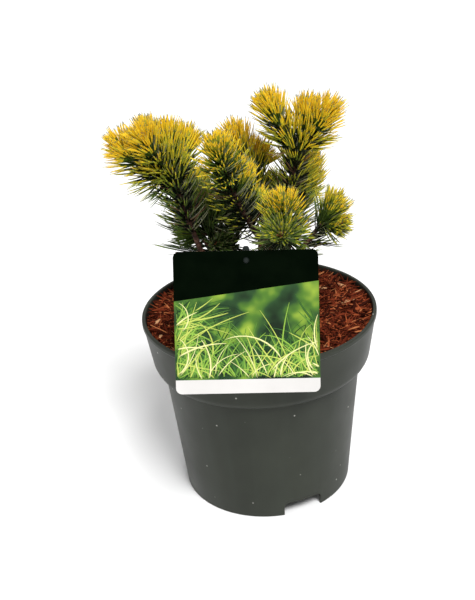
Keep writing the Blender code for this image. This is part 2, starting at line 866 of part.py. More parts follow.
def build_card(finish):
    """The square card, with rounded corners and a hole for the stake's button."""
    form = bmesh.new()
    bmesh.ops.create_cube(form, size=1.0)
    bmesh.ops.scale(form, vec=(CARD_WIDTH, CARD_HEIGHT, CARD_THICKNESS), verts=form.verts)
    corners = [
        edge
        for edge in form.edges
        if abs(edge.verts[0].co.z - edge.verts[1].co.z) > CARD_THICKNESS / 2
    ]
    bmesh.ops.bevel(
        form, geom=corners, offset=CARD_CORNER, segments=4, profile=0.5, affect="EDGES"
    )
    card = object_from("label_card", form, finish)
    card.matrix_world = card_frame()
    hole = peg("card_hole", HOLE_RADIUS, -CARD_THICKNESS, CARD_THICKNESS, HOLE_RADIUS)
    boolean(card, "DIFFERENCE", hole)


def build_stake(finish):
    """The stake, with the neck and button that hold the card fused to it."""
    stake = stake_bar("label_stake", finish=finish)
    front = CARD_THICKNESS / 2 + GAP
    behind = -front - STAKE_THICKNESS / 2
    neck = peg("stake_neck", NECK_RADIUS, behind, front + BUTTON_HEIGHT / 2, NECK_RADIUS)
    button = peg("stake_button", BUTTON_RADIUS, front, front + BUTTON_HEIGHT, BUTTON_RADIUS * 0.7)
    boolean(stake, "UNION", neck)
    boolean(stake, "UNION", button)


def build():
    start_empty()
    build_pot(material("pot_plastic", (0.075, 0.085, 0.082), 0.45))
    build_mulch(material("bark_mulch", (0.20, 0.055, 0.028), 0.9))
    build_trunk_and_boughs(material("bark", (0.12, 0.062, 0.045), 0.85))
    build_foliage(material("needles", (0.42, 0.36, 0.035), 0.5))
    build_card(material("card_plastic", (0.10, 0.20, 0.035), 0.3))
    build_stake(material("stake_plastic", (0.02, 0.025, 0.025), 0.4))


build()
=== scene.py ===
import json
import math
import random
from collections import namedtuple

import bpy
import numpy as np
from mathutils import Matrix, Vector, noise
from mathutils.kdtree import KDTree

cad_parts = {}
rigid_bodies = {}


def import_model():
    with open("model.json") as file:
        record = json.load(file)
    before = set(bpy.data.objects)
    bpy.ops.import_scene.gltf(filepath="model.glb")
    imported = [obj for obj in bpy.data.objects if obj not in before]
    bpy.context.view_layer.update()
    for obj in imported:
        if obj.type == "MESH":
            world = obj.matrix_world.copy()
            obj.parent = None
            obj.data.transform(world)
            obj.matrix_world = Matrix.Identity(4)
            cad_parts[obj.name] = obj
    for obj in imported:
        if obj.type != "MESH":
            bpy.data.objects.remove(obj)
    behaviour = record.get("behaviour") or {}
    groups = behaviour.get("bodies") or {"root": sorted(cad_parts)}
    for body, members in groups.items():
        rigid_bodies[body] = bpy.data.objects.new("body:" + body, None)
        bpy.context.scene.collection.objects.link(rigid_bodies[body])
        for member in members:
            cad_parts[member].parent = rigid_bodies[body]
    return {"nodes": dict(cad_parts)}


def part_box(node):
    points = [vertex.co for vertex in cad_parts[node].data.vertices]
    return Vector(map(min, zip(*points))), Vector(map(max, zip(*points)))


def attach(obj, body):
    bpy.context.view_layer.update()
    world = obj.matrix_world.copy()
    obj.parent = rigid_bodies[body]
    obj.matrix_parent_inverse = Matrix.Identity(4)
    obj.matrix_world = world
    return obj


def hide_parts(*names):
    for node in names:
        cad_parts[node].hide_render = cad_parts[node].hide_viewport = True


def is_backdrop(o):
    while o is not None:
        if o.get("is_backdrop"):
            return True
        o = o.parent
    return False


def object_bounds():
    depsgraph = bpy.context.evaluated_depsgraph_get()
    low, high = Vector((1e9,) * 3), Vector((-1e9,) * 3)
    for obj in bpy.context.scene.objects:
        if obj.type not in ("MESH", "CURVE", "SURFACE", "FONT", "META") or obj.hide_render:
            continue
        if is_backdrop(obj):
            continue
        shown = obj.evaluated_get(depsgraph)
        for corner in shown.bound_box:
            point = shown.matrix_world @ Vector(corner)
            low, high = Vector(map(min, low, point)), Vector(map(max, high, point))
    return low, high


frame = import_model()
cad_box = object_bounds()
MM = 0.001
UP = np.array((0.0, 0.0, 1.0))


# Pot. A three-litre nursery container, injection moulded in one piece from dark grey-green
# polypropylene: a tapering body, a deep stacking collar with a rolled rim, a raised floor ring with
# drain holes, and three drainage notches in the skirt.
POT_SIDES = 144
POT_RIM = 95 * MM
POT_TOP = 157 * MM
# Radius, height and corner rounding of each corner of the wall, in millimetres, from the underside
# round the outside and over the rim to the floor inside.
POT_CORNERS = (
    (40.0, 0.0, 0.0),
    (50.0, 0.0, 1.6),
    (57.0, 13.5, 1.6),
    (68.2, 13.5, 1.0),
    (68.2, 0.0, 0.3),
    (70.3, 0.0, 0.7),
    (75.6, 57.0, 0.0),
    (81.1, 113.4, 1.0),
    (86.4, 114.4, 1.6),
    (88.8, 117.2, 3.2),
    (91.4, 134.5, 0.0),
    (94.1, 152.3, 0.5),
    (95.0, 153.0, 0.6),
    (95.0, 157.0, 1.5),
    (91.8, 157.0, 1.3),
    (91.8, 152.5, 0.7),
    (92.4, 150.6, 0.5),
    (87.3, 118.6, 3.0),
    (85.6, 116.4, 1.2),
    (79.6, 116.0, 1.2),
    (70.2, 15.7, 1.0),
    (56.0, 15.7, 1.6),
    (49.0, 2.2, 1.6),
    (40.0, 2.2, 0.0),
)
NOTCHES = 3
FIRST_NOTCH = -67
NOTCH_CIRCLE = 71 * MM
NOTCH_SIZE = Vector((18, 33, 25)) * MM
NOTCH_ROUNDING = 4.6 * MM
DRAIN_HOLES = 6
FIRST_DRAIN = 30
DRAIN_CIRCLE = 62.6 * MM
DRAIN_RADIUS = 3.5 * MM
FLOOR_MIDDLE = 14.6 * MM
POT_DARK = (0.024, 0.027, 0.021)
POT_LIGHT = (0.036, 0.040, 0.031)
POT_RUBBED = (0.040, 0.046, 0.038)
POT_DUST = (0.42, 0.42, 0.38)


def deselect_all():
    bpy.ops.object.select_all(action="DESELECT")


def take_up(piece):
    """Makes a piece the only one selected, and the active one."""
    deselect_all()
    piece.select_set(True)
    bpy.context.view_layer.objects.active = piece


def edit(piece):
    """Opens a piece in edit mode, with all of it selected."""
    take_up(piece)
    bpy.ops.object.mode_set(mode="EDIT")
    bpy.ops.mesh.select_all(action="SELECT")


def leave_edit():
    bpy.ops.object.mode_set(mode="OBJECT")


def apply_modifier(piece, kind, **settings):
    """Adds a modifier with these settings and applies it."""
    take_up(piece)
    added = piece.modifiers.new(kind.lower(), kind)
    for name, value in settings.items():
        setattr(added, name, value)
    bpy.ops.object.modifier_apply(modifier=added.name)


def cut(piece, tool):
    """Cuts a tool's shape out of a piece, and removes the tool."""
    apply_modifier(piece, "BOOLEAN", operation="DIFFERENCE", object=tool)
    bpy.data.objects.remove(tool)


def rounded(corners, steps=5):
    """A line through (radius, height, rounding) corners in millimetres, as rings in metres."""
    points = [Vector(corner[:2]) for corner in corners]
    line = [points[0]]
    for i in range(1, len(points) - 1):
        here = points[i]
        reach = corners[i][2]
        if not reach:
            line.append(here)
            continue
        before = here + (points[i - 1] - here).normalized() * reach
        after = here + (points[i + 1] - here).normalized() * reach
        for step in range(steps):
            t = step / (steps - 1)
            line.append((1 - t) ** 2 * before + 2 * t * (1 - t) * here + t * t * after)
    line.append(points[-1])
    return [point * MM for point in line]


def turn_up(name, sides, rings):
    """Draws a circle up through (radius, height) rings by extruding it, and closes both ends."""
    deselect_all()
    radius, height = rings[0]
    bpy.ops.mesh.primitive_circle_add(vertices=sides, radius=radius, location=(0, 0, height))
    piece = bpy.context.object
    piece.name = name
    bpy.ops.object.transform_apply()
    edit(piece)
    for next_radius, next_height in rings[1:]:
        rise = (0, 0, next_height - height)
        bpy.ops.mesh.extrude_region_move(TRANSFORM_OT_translate={"value": rise})
        widen = next_radius / radius
        bpy.ops.transform.resize(value=(widen, widen, 1), center_override=(0, 0, 0))
        radius, height = next_radius, next_height
    bpy.ops.mesh.select_all(action="SELECT")
    bpy.ops.mesh.fill_holes(sides=0)
    bpy.ops.mesh.select_all(action="SELECT")
    bpy.ops.mesh.normals_make_consistent(inside=False)
    leave_edit()
    return piece


def shade(piece, degrees):
    """Shades a piece smooth, apart from edges that turn by more than this."""
    take_up(piece)
    bpy.ops.object.shade_smooth_by_angle(angle=math.radians(degrees))


def new_finish(name, colour, roughness, **inputs):
    """A material whose shader sockets are set to one colour and these values."""
    made = bpy.data.materials.new(name)
    made.use_nodes = True
    shader = made.node_tree.nodes["Principled BSDF"]
    shader.inputs["Base Color"].default_value = (*colour, 1)
    shader.inputs["Roughness"].default_value = roughness
    for socket, value in inputs.items():
        shader.inputs[socket.replace("_", " ")].default_value = value
    return made


class Weave:
    """Wires a material's nodes on object coordinates."""

    def __init__(self, finish):
        self.tree = finish.node_tree
        self.shader = self.tree.nodes["Principled BSDF"]
        self.place = self.tree.nodes.new("ShaderNodeTexCoord").outputs["Object"]

    def node(self, kind, **inputs):
        made = self.tree.nodes.new(kind)
        for name, value in inputs.items():
            self.join(value, made.inputs[name.replace("_", " ")])
        return made

    def join(self, value, socket):
        if isinstance(value, bpy.types.NodeSocket):
            self.tree.links.new(value, socket)
        else:
            socket.default_value = value

    def noise(self, scale, detail=3, stretch=(1, 1, 1), roughness=0.5):
        mapped = self.node("ShaderNodeMapping", Vector=self.place, Scale=stretch)
        made = self.node(
            "ShaderNodeTexNoise",
            Vector=mapped.outputs[0],
            Scale=scale,
            Detail=detail,
            Roughness=roughness,
        )
        return made.outputs["Fac"]

    def ramp(self, value, *stops):
        """Colours or greys dealt out along a value, as (position, colour) stops."""
        made = self.node("ShaderNodeValToRGB", Fac=value)
        elements = made.color_ramp.elements
        while len(elements) < len(stops):
            elements.new(1)
        for element, (position, colour) in zip(elements, stops):
            element.position = position
            grey = not hasattr(colour, "__len__")
            element.color = (colour, colour, colour, 1) if grey else (*colour, 1)
        return made.outputs["Color"]

    def mix(self, share, first, second):
        made = self.tree.nodes.new("ShaderNodeMix")
        made.data_type = "RGBA"
        self.join(share, made.inputs["Factor"])
        for value, socket in ((first, made.inputs[6]), (second, made.inputs[7])):
            flat = isinstance(value, tuple) and len(value) == 3
            self.join((*value, 1) if flat else value, socket)
        return made.outputs[2]

    def bump(self, height, distance, strength=1.0):
        made = self.node("ShaderNodeBump", Height=height, Distance=distance, Strength=strength)
        self.tree.links.new(made.outputs[0], self.shader.inputs["Normal"])

    def to(self, socket, value):
        self.tree.links.new(value, self.shader.inputs[socket])


def on_circle(radius, bearing, height=0):
    """The place at a bearing, in degrees, on a circle round the pot's axis."""
    angle = math.radians(bearing)
    return Vector((math.cos(angle) * radius, math.sin(angle) * radius, height))


pot = turn_up("pot_shell", POT_SIDES, rounded(POT_CORNERS))
for number in range(NOTCHES):
    bearing = FIRST_NOTCH + 360 / NOTCHES * number
    place = on_circle(NOTCH_CIRCLE, bearing)
    deselect_all()
    bpy.ops.mesh.primitive_cube_add(size=1, location=place, rotation=(0, 0, math.radians(bearing)))
    notch = bpy.context.object
    notch.scale = NOTCH_SIZE
    bpy.ops.object.transform_apply(location=False, rotation=False, scale=True)
    apply_modifier(notch, "BEVEL", width=NOTCH_ROUNDING, segments=6, limit_method="ANGLE")
    cut(pot, notch)
for number in range(DRAIN_HOLES):
    place = on_circle(DRAIN_CIRCLE, FIRST_DRAIN + 360 / DRAIN_HOLES * number, FLOOR_MIDDLE)
    deselect_all()
    bpy.ops.mesh.primitive_cylinder_add(
        vertices=32, radius=DRAIN_RADIUS, depth=8 * MM, location=place
    )
    cut(pot, bpy.context.object)
shade(pot, 40)

# Cloudy grey-green, rubbed a little lighter in upright streaks, with a few specks of dust
pot_plastic = new_finish("pot_plastic", POT_DARK, 0.42, Specular_IOR_Level=0.13)
w = Weave(pot_plastic)
clouds = w.ramp(w.noise(14, 4), (0.30, POT_DARK), (0.72, POT_LIGHT))
streaks = w.ramp(w.noise(60, 3, stretch=(1, 1, 0.08)), (0.45, 0.0), (0.75, 0.35))
rubbed = w.mix(streaks, clouds, POT_RUBBED)
specks = w.node("ShaderNodeTexVoronoi", Vector=w.place, Scale=95.0)
speck_share = w.ramp(specks.outputs["Distance"], (0.055, 1.0), (0.085, 0.0))
dusty_places = w.ramp(w.noise(38, 2), (0.50, 0.0), (0.56, 0.9))
dust = w.node("ShaderNodeMath")
dust.operation = "MULTIPLY"
w.join(speck_share, dust.inputs[0])
w.join(dusty_places, dust.inputs[1])
w.to("Base Color", w.mix(dust.outputs[0], rubbed, POT_DUST))
w.to("Roughness", w.ramp(w.noise(22, 4), (0.3, 0.36), (0.7, 0.50)))
w.bump(w.noise(420, 3), 0.05 * MM, 0.35)
pot.data.materials.append(pot_plastic)
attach(pot, "root")
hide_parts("pot")


# Mulch. The root ball in its mix fills the pot, and shredded and dyed conifer bark is strewn over
# it, thick enough to hide the mix: flat splinters and thin fibres that lie across each other, low
# at the pot's wall and heaped towards the stem.
MULCH_EDGE = 149.5 * MM
MULCH_TOP = 156 * MM
MULCH_REACH = 91.0 * MM
MULCH_HEAP = 17 * MM
BED_SUNK = 1.2 * MM
BED_ROUGHNESS = 1.1 * MM
ROUGH_ABOVE = 145 * MM
ROUGH_WITHIN = 90 * MM
STEM_CLEAR = 9 * MM
CHIPS = 2900
CHIP_LENGTHS = (9 * MM, 25 * MM)
CHIP_WIDTHS = (1.2 * MM, 3.2 * MM)
FIBRES = 4300
FIBRE_LENGTHS = (9 * MM, 30 * MM)
FIBRE_WIDTHS = (0.6 * MM, 1.3 * MM)
LAID_HEIGHTS = (-0.2 * MM, 2.6 * MM)
CHIP_PITCH = 0.24
CHIP_ROLL = 0.35
CHIP_BEND = 0.10
CHIP_TWIST = 0.35
# The splinters' colours, and how common each is
CHIP_TONES = (
    ((0.031, 0.006, 0.003), 0.27),
    ((0.088, 0.015, 0.006), 0.30),
    ((0.172, 0.032, 0.012), 0.24),
    ((0.310, 0.074, 0.026), 0.13),
    ((0.430, 0.150, 0.056), 0.045),
    ((0.560, 0.300, 0.150), 0.007),
)


def mulch_height(radius):
    """The mulch's top at a distance from the pot's axis."""
    share = np.clip((radius - MULCH_HEAP) / (MULCH_REACH - MULCH_HEAP), 0, 1)
    return MULCH_TOP - (MULCH_TOP - MULCH_EDGE) * share * share


def ring_shape(rings, sides, pointed):
    """The faces of one closed shape made of rings of corners, with a last point if pointed."""
    faces = [tuple(range(sides))[::-1]]
    for low in range(0, (rings - 1) * sides, sides):
        for i in range(sides):
            j = (i + 1) % sides
            faces.append((low + i, low + j, low + sides + j, low + sides + i))
    last = (rings - 1) * sides
    if pointed:
        faces += [(last + i, last + (i + 1) % sides, last + sides) for i in range(sides)]
    else:
        faces.append(tuple(range(last, last + sides)))
    return faces


def joined_copies(name, points, shape, tones, finishes, smooth=True):
    """One mesh of many like shapes: points is (copies, corners, 3), and tones (copies, faces)."""
    copies, corners = points.shape[:2]
    sizes = np.array([len(face) for face in shape])
    one = np.concatenate([np.array(face) for face in shape])
    loops = (one[None, :] + corners * np.arange(copies)[:, None]).ravel()
    totals = np.tile(sizes, copies)
    starts = np.concatenate(([0], np.cumsum(totals)[:-1]))
    mesh = bpy.data.meshes.new(name)
    mesh.vertices.add(copies * corners)
    mesh.vertices.foreach_set("co", points.astype(np.float32).ravel())
    mesh.loops.add(len(loops))
    mesh.loops.foreach_set("vertex_index", loops.astype(np.int32))
    mesh.polygons.add(len(totals))
    mesh.polygons.foreach_set("loop_start", starts.astype(np.int32))
    mesh.polygons.foreach_set("loop_total", totals.astype(np.int32))
    mesh.polygons.foreach_set("material_index", tones.astype(np.int32).ravel())
    mesh.update(calc_edges=True)
    mesh.validate()
    if smooth:
        mesh.shade_smooth()
    piece = bpy.data.objects.new(name, mesh)
    bpy.context.scene.collection.objects.link(piece)
    for finish in finishes:
        mesh.materials.append(finish)
    return piece


def unit(vectors):
    return vectors / np.maximum(np.linalg.norm(vectors, axis=-1, keepdims=True), 1e-12)


def swept(centres, side, other, sizes, section):
    """Rings of corners along middle lines. centres, side and other are (copies, rings, 3), sizes
    is (copies, rings) and section is the (corners, 2) outline of size one."""
    across = side[:, :, None, :] * section[None, None, :, 0:1]
    through = other[:, :, None, :] * section[None, None, :, 1:2]
    ring = centres[:, :, None, :] + (across + through) * sizes[:, :, None, None]
    return ring.reshape(len(centres), -1, 3)


def strewn(name, count, rings, lengths, widths, flatness, seed, finishes):
    """Bark splinters strewn over the mulch, each tapered, a little bent and tilted its own way."""
    rng = np.random.default_rng(seed)
    radius = MULCH_REACH * np.sqrt(rng.uniform(0.004, 1, count))
    around = rng.uniform(0, 2 * math.pi, count)
    length = rng.uniform(*lengths, count)
    yaw = rng.uniform(0, 2 * math.pi, count)
    pitch = rng.normal(0, CHIP_PITCH, count)
    way = unit(np.stack((np.cos(yaw), np.sin(yaw), np.sin(pitch)), 1))
    middle = np.stack((radius * np.cos(around), radius * np.sin(around)), 1)
    half = length[:, None] * way[:, :2] / 2
    far = np.linalg.norm(np.stack((middle - half, middle + half)), axis=2).max(0)
    middle -= np.maximum(0, far - MULCH_REACH)[:, None] * unit(middle)
    fits = np.linalg.norm(middle, axis=1) > STEM_CLEAR
    laid = rng.uniform(*LAID_HEIGHTS, count)
    height = mulch_height(np.linalg.norm(middle, axis=1)) + laid
    place = np.concatenate((middle, height[:, None]), 1)
    side = unit(np.cross(way, UP) + rng.normal(0, CHIP_ROLL, (count, 3)))
    other = unit(np.cross(side, way))[:, None, :]
    side, way = side[:, None, :], way[:, None, :]
    length = length[:, None, None]
    t = np.linspace(-0.5, 0.5, rings)
    bend = rng.normal(0, CHIP_BEND, (count, 2))[:, :, None, None]
    arch = (0.25 - t * t)[None, :, None]
    centres = place[:, None, :] + t[None, :, None] * length * way
    centres += arch * length * (bend[:, 0] * side + bend[:, 1] * other)
    taper = np.sqrt(np.clip(1 - (2 * np.abs(t) * 0.93) ** 3, 0.03, 1))
    sizes = rng.uniform(*widths, count)[:, None] * taper * rng.uniform(0.7, 1.15, (count, rings))
    section = np.array(((-0.5, -1), (0.5, -0.7), (0.46, 1), (-0.42, 0.8))) * (1, flatness)
    twist = (rng.normal(0, CHIP_TWIST, count)[:, None] * t)[:, :, None]
    across = np.cos(twist) * side + np.sin(twist) * other
    through = np.cos(twist) * other - np.sin(twist) * side
    points = swept(centres, across, through, sizes, section)[fits]
    shape = ring_shape(rings, 4, pointed=False)
    weights = np.array([weight for _, weight in CHIP_TONES])
    tone = rng.choice(len(CHIP_TONES), len(points), p=weights / weights.sum())
    tones = np.repeat(tone[:, None], len(shape), 1)
    return joined_copies(name, points, shape, tones, finishes, smooth=False)


# The bed follows the pot's inside, a little clear of it, then the mulch's top towards the middle
underside = [(radius - 0.3, height + 0.3, 0.0) for radius, height, _ in POT_CORNERS[:-4:-1]]
wall = [
    (69.9, 16.0, 0.0),
    (79.3, 116.3, 1.0),
    (85.3, 116.7, 1.0),
    (87.0, 118.9, 2.0),
    (91.1, 146.0, 0.4),
]
top = [
    Vector((radius, float(mulch_height(radius)) - BED_SUNK))
    for radius in np.linspace(90.6 * MM, 2 * MM, 44)
]
bed = turn_up("mulch_bed", 120, rounded(underside + wall) + top)
for vertex in bed.data.vertices:
    if vertex.co.z > ROUGH_ABOVE and math.hypot(vertex.co.x, vertex.co.y) < ROUGH_WITHIN:
        vertex.co.z += BED_ROUGHNESS * noise.fractal(vertex.co * 140, 0.8, 2.1, 3)
shade(bed, 60)
mulch_mix = new_finish("mulch_mix", (0.045, 0.014, 0.008), 0.95)
w = Weave(mulch_mix)
crumbs = w.ramp(w.noise(330, 5), (0.35, (0.022, 0.008, 0.005)), (0.60, (0.105, 0.027, 0.013)))
w.to("Base Color", crumbs)
w.bump(w.noise(700, 5), 0.6 * MM)
bed.data.materials.append(mulch_mix)
bark_tones = [
    new_finish(f"bark_chip_{number}", colour, 0.85, Specular_IOR_Level=0.03)
    for number, (colour, _) in enumerate(CHIP_TONES)
]
chips = strewn(
    "mulch_chips", CHIPS, 5, CHIP_LENGTHS, CHIP_WIDTHS, flatness=0.16, seed=3, finishes=bark_tones
)
fibres = strewn(
    "mulch_fibres", FIBRES, 4, FIBRE_LENGTHS, FIBRE_WIDTHS, flatness=0.34, seed=5, finishes=bark_tones
)
for piece in (bed, chips, fibres):
    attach(piece, "root")
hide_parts("mulch")


# Trunk and boughs. Young pine wood: a short stem with a flared foot that forks low, and a dozen
# boughs as thick as a pencil, in thin red-brown bark with the raised cushions that fallen needles
# leave in spirals. They grow from the same plan as the solids.
TRUNK_HEIGHT = 38 * MM
TRUNK_FOOT = np.array((3.0, 1.0, 156.3)) * MM
TRUNK_TOP = TRUNK_FOOT + (-3.0 * MM, 3.0 * MM, TRUNK_HEIGHT)
TRUNK_BOW = np.array((1.2, 0.0, 0.0)) * MM
TRUNK_RADII = (7.2 * MM, 5.8 * MM)
TRUNK_SIDES = 40
FLARE = 4.5 * MM
FLARE_HEIGHT = 7 * MM
# Where each bough leaves the trunk, its bearing, its reach and height at its end, and its radius
# at both ends, in millimetres and degrees
Bough = namedtuple("Bough", "leaves bearing reach height thick thin")
BOUGHS = {
    "centre_front": Bough(32, 293, 9, 61, 2.6, 2.1),
    "centre_back": Bough(34, 63, 16, 65, 2.5, 2.0),
    "right_tall": Bough(33, 24, 30, 82, 2.6, 2.1),
    "left": Bough(20, 188, 46, 56, 2.6, 2.1),
    "right_low": Bough(32, 352, 45, 63, 2.4, 1.9),
    "front": Bough(24, 304, 36, 64, 2.4, 1.9),
    "inner_left": Bough(30, 172, 35, 51, 2.1, 1.8),
    "inner_right": Bough(27, 65, 30, 57, 2.1, 1.8),
    "inner_back": Bough(22, 141, 27, 45, 2.1, 1.8),
    "back_left": Bough(12, 146, 57, 56, 2.5, 2.0),
    "back_right": Bough(12, 51, 51, 57, 2.5, 2.0),
    "back_low": Bough(16, 84, 44, 51, 2.4, 1.9),
}
BOUGH_SIDES = 18
KNEE_REACH = 0.62
KNEE_RISE = 0.42
FURROW = 0.035


class Arc:
    """A curve from start to end that passes through a middle point half way along."""

    def __init__(self, start, middle, end):
        self.start = start
        self.end = end
        self.pull = 2 * middle - (start + end) / 2

    def points(self, t):
        t = np.asarray(t, float)[..., None]
        s = 1 - t
        return s * s * self.start + 2 * s * t * self.pull + t * t * self.end

    def ways(self, t):
        t = np.asarray(t, float)[..., None]
        return unit((1 - t) * (self.pull - self.start) + t * (self.end - self.pull))

    def length(self):
        points = self.points(np.linspace(0, 1, 25))
        return float(np.linalg.norm(np.diff(points, axis=0), axis=1).sum())


def level(bearing):
    """The level way towards a bearing, in degrees."""
    angle = math.radians(bearing)
    return np.array((math.cos(angle), math.sin(angle), 0.0))


def square_to(ways):
    """Unit vectors at right angles to each way and to each other."""
    side = unit(np.cross(ways, np.array((0.31, -0.17, 0.93))))
    return side, np.cross(ways, side)


trunk_arc = Arc(TRUNK_FOOT, (TRUNK_FOOT + TRUNK_TOP) / 2 + TRUNK_BOW, TRUNK_TOP)


def bough_arc(plan):
    start = trunk_arc.points(plan.leaves * MM / TRUNK_HEIGHT)
    outward = level(plan.bearing) * plan.reach * MM
    upward = UP * (TRUNK_FOOT[2] + plan.height * MM - start[2])
    knee = start + KNEE_REACH * outward + KNEE_RISE * upward
    return Arc(start, knee, start + outward + upward)


def tapering(thick, thin):
    """The radius at a share of a limb's length, from one at its foot to another at its tip."""
    return lambda t: thick + (thin - thick) * t


def barked(arc, radius_at, sides, step, cushion, seed, flare=None):
    """Corners of one barked limb: rings along its arc, raised by cushions where two sets of
    spirals cross, and by furrows. radius_at gives the radius at a share of the length, and flare
    adds to it by share and angle."""
    length = arc.length()
    rings = max(6, int(length / step))
    t = np.linspace(0, 1, rings)
    side, other = square_to(arc.ways(t))
    angle = np.linspace(0, 2 * math.pi, sides, endpoint=False)
    a, s = np.meshgrid(angle, t * length / MM)
    left_turns = np.cos(3 * a + s * 0.9 + seed)
    right_turns = np.cos(5 * a - s * 1.5 + 2 * seed)
    bumps = np.clip(left_turns, 0, 1) * np.clip(right_turns, 0, 1)
    furrows = np.cos(7 * a + 2.2 * np.sin(s * 0.35 + seed)) * np.cos(s * 0.8 + 3 * a)
    radius = radius_at(t)[:, None] * (1 + cushion * bumps + FURROW * furrows)
    if flare is not None:
        radius = radius + flare(t[:, None], a)
    ring = side[:, None, :] * np.cos(a)[:, :, None] + other[:, None, :] * np.sin(a)[:, :, None]
    points = arc.points(t)[:, None, :] + ring * radius[:, :, None]
    return points.reshape(-1, 3), rings


def limb_piece(name, limbs, sides, finish):
    """One mesh of several limbs, each closed at both ends."""
    points, faces = [], []
    for corners, rings in limbs:
        first = sum(len(p) for p in points)
        points.append(corners)
        shape = ring_shape(rings, sides, pointed=False)
        faces += [tuple(first + i for i in face) for face in shape]
    mesh = bpy.data.meshes.new(name)
    mesh.from_pydata(np.concatenate(points).tolist(), [], faces)
    mesh.shade_smooth()
    mesh.materials.append(finish)
    piece = bpy.data.objects.new(name, mesh)
    bpy.context.scene.collection.objects.link(piece)
    return piece


def trunk_radius(t):
    """The trunk's radius at a share of its height, drawn in at its top end."""
    return tapering(*TRUNK_RADII)(t) * np.where(t > 0.97, 0.82, 1.0)


def root_flare(t, angle):
    """How far the trunk's foot spreads into five roots."""
    return FLARE * np.exp(-t * TRUNK_HEIGHT / FLARE_HEIGHT) * (1 + 0.5 * np.cos(5 * angle))


def bark_finish(name, dark, middle, light):
    """Thin flaky bark: three browns in patches along the limb, with fine cracks."""
    finish = new_finish(name, middle, 0.86, Specular_IOR_Level=0.25)
    w = Weave(finish)
    patches = w.noise(260, 5, roughness=0.6)
    w.to("Base Color", w.ramp(patches, (0.34, dark), (0.52, middle), (0.70, light)))
    w.bump(w.noise(900, 5), 0.35 * MM)
    return finish


bough_bark = bark_finish(
    "bough_bark", dark=(0.022, 0.010, 0.007), middle=(0.075, 0.030, 0.019), light=(0.190, 0.088, 0.055)
)
boughs = {name: bough_arc(plan) for name, plan in BOUGHS.items()}
stem_skin = barked(
    trunk_arc, trunk_radius, TRUNK_SIDES, step=0.7 * MM, cushion=0.06, seed=1.0, flare=root_flare
)
stem = limb_piece("trunk_bark", [stem_skin], TRUNK_SIDES, bough_bark)
limbs = []
for seed, (name, arc) in enumerate(boughs.items()):
    radius_at = tapering(BOUGHS[name].thick * MM, BOUGHS[name].thin * MM)
    limbs.append(barked(arc, radius_at, BOUGH_SIDES, step=0.8 * MM, cushion=0.16, seed=seed))
bough_wood = limb_piece("bough_bark_tubes", limbs, BOUGH_SIDES, bough_bark)
for piece in (stem, bough_wood):
    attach(piece, "root")
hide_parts("trunk")
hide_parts(*["bough_" + name for name in BOUGHS])


# Twigs and buds. Each bough carries leafy shoots one to three years old, which fork and end in
# resinous buds. The shoots are thin brown wood, and the buds are pointed, with narrow red-brown
# scales and a bloom of pale resin.
TWIG_SAG = 0.12
TWIG_SIDES = 10
TWIG_FOOT = 1.8 * MM
TWIG_TIP = 1.35 * MM
# The shoots of each mass: the parent's number and the share along it, the bearing, the lean from
# upright and the length, in degrees and millimetres, then the bare length at its foot, and how
# golden, how widely spread and how long its needles are beside the others. The first shoot grows
# on from its bough.
Shoot = namedtuple(
    "Shoot", "parent share bearing lean length bare gold spread size", defaults=(0, 1.0, 1.0, 1.0)
)
SHOOTS = {
    "centre_front": (
        Shoot(None, 0, 224, 27, 68, 13),
        Shoot(0, 0.97, 246, 27, 30, 0, 1.0, 1.22),
        Shoot(0, 0.75, 32, 20, 16),
        Shoot(0, 0.42, 69, 73, 24),
    ),
    "centre_back": (
        Shoot(None, 0, 122, 17, 47),
        Shoot(0, 0.97, 196, 24, 31),
        Shoot(0, 0.94, 48, 43, 14),
    ),
    "right_tall": (
        Shoot(None, 0, 336, 12, 47),
        Shoot(0, 0.90, 186, 26, 46, 4),
        Shoot(0, 0.97, 340, 36, 40),
        Shoot(0, 0.99, 28, 17, 30),
    ),
    "left": (
        Shoot(None, 0, 207, 15, 67, 16),
        Shoot(0, 0.90, 190, 48, 52, 0, 1.0, 1.45),
        Shoot(0, 0.99, 227, 34, 45),
        Shoot(0, 0.99, 107, 19, 31),
        Shoot(0, 0.95, 61, 39, 32),
        Shoot(0, 0.97, 131, 44, 41),
    ),
    "right_low": (
        Shoot(None, 0, 352, 33, 29),
        Shoot(0, 0.40, 326, 74, 19, 0, 0.95, 1.0, 0.7),
    ),
    "front": (
        Shoot(None, 0, 264, 14, 38, 0, 1.0, 1.35),
        Shoot(0, 0.40, 264, 71, 31, 0, 0.58, 1.6),
    ),
    "inner_left": (
        Shoot(None, 0, 133, 11, 42),
        Shoot(0, 0.45, 321, 37, 23),
        Shoot(0, 0.32, 188, 73, 16),
        Shoot(0, 0.50, 95, 74, 13),
        Shoot(0, 0.12, 288, 72, 15),
    ),
    "inner_right": (
        Shoot(None, 0, 49, 9, 31),
        Shoot(0, 0.35, 280, 60, 16),
    ),
    "inner_back": (
        Shoot(None, 0, 93, 17, 35),
        Shoot(0, 0.45, 358, 41, 16),
        Shoot(0, 0.35, 232, 60, 14),
        Shoot(0, 0.12, 259, 63, 24),
    ),
    "back_left": (
        Shoot(None, 0, 146, 27, 47),
        Shoot(0, 0.72, 100, 42, 26),
        Shoot(0, 0.55, 60, 50, 22),
    ),
    "back_right": (
        Shoot(None, 0, 40, 20, 46),
        Shoot(0, 0.68, 100, 42, 26),
        Shoot(0, 0.50, 70, 60, 20),
    ),
    "back_low": (
        Shoot(None, 0, 79, 39, 36),
        Shoot(0, 0.50, 130, 48, 24),
    ),
}
FORK_SHARE = 0.85
BUD_LENGTH = 8 * MM
BUD_SUNK = 1.0 * MM
SIDE_BUDS = 3
SIDE_BUD_SUNK = 1.6 * MM
SIDE_BUD_OUT = 1.0 * MM
SIDE_BUD_TURN = 2.1
SIDE_BUD_LENGTHS = (0.50, 0.68)
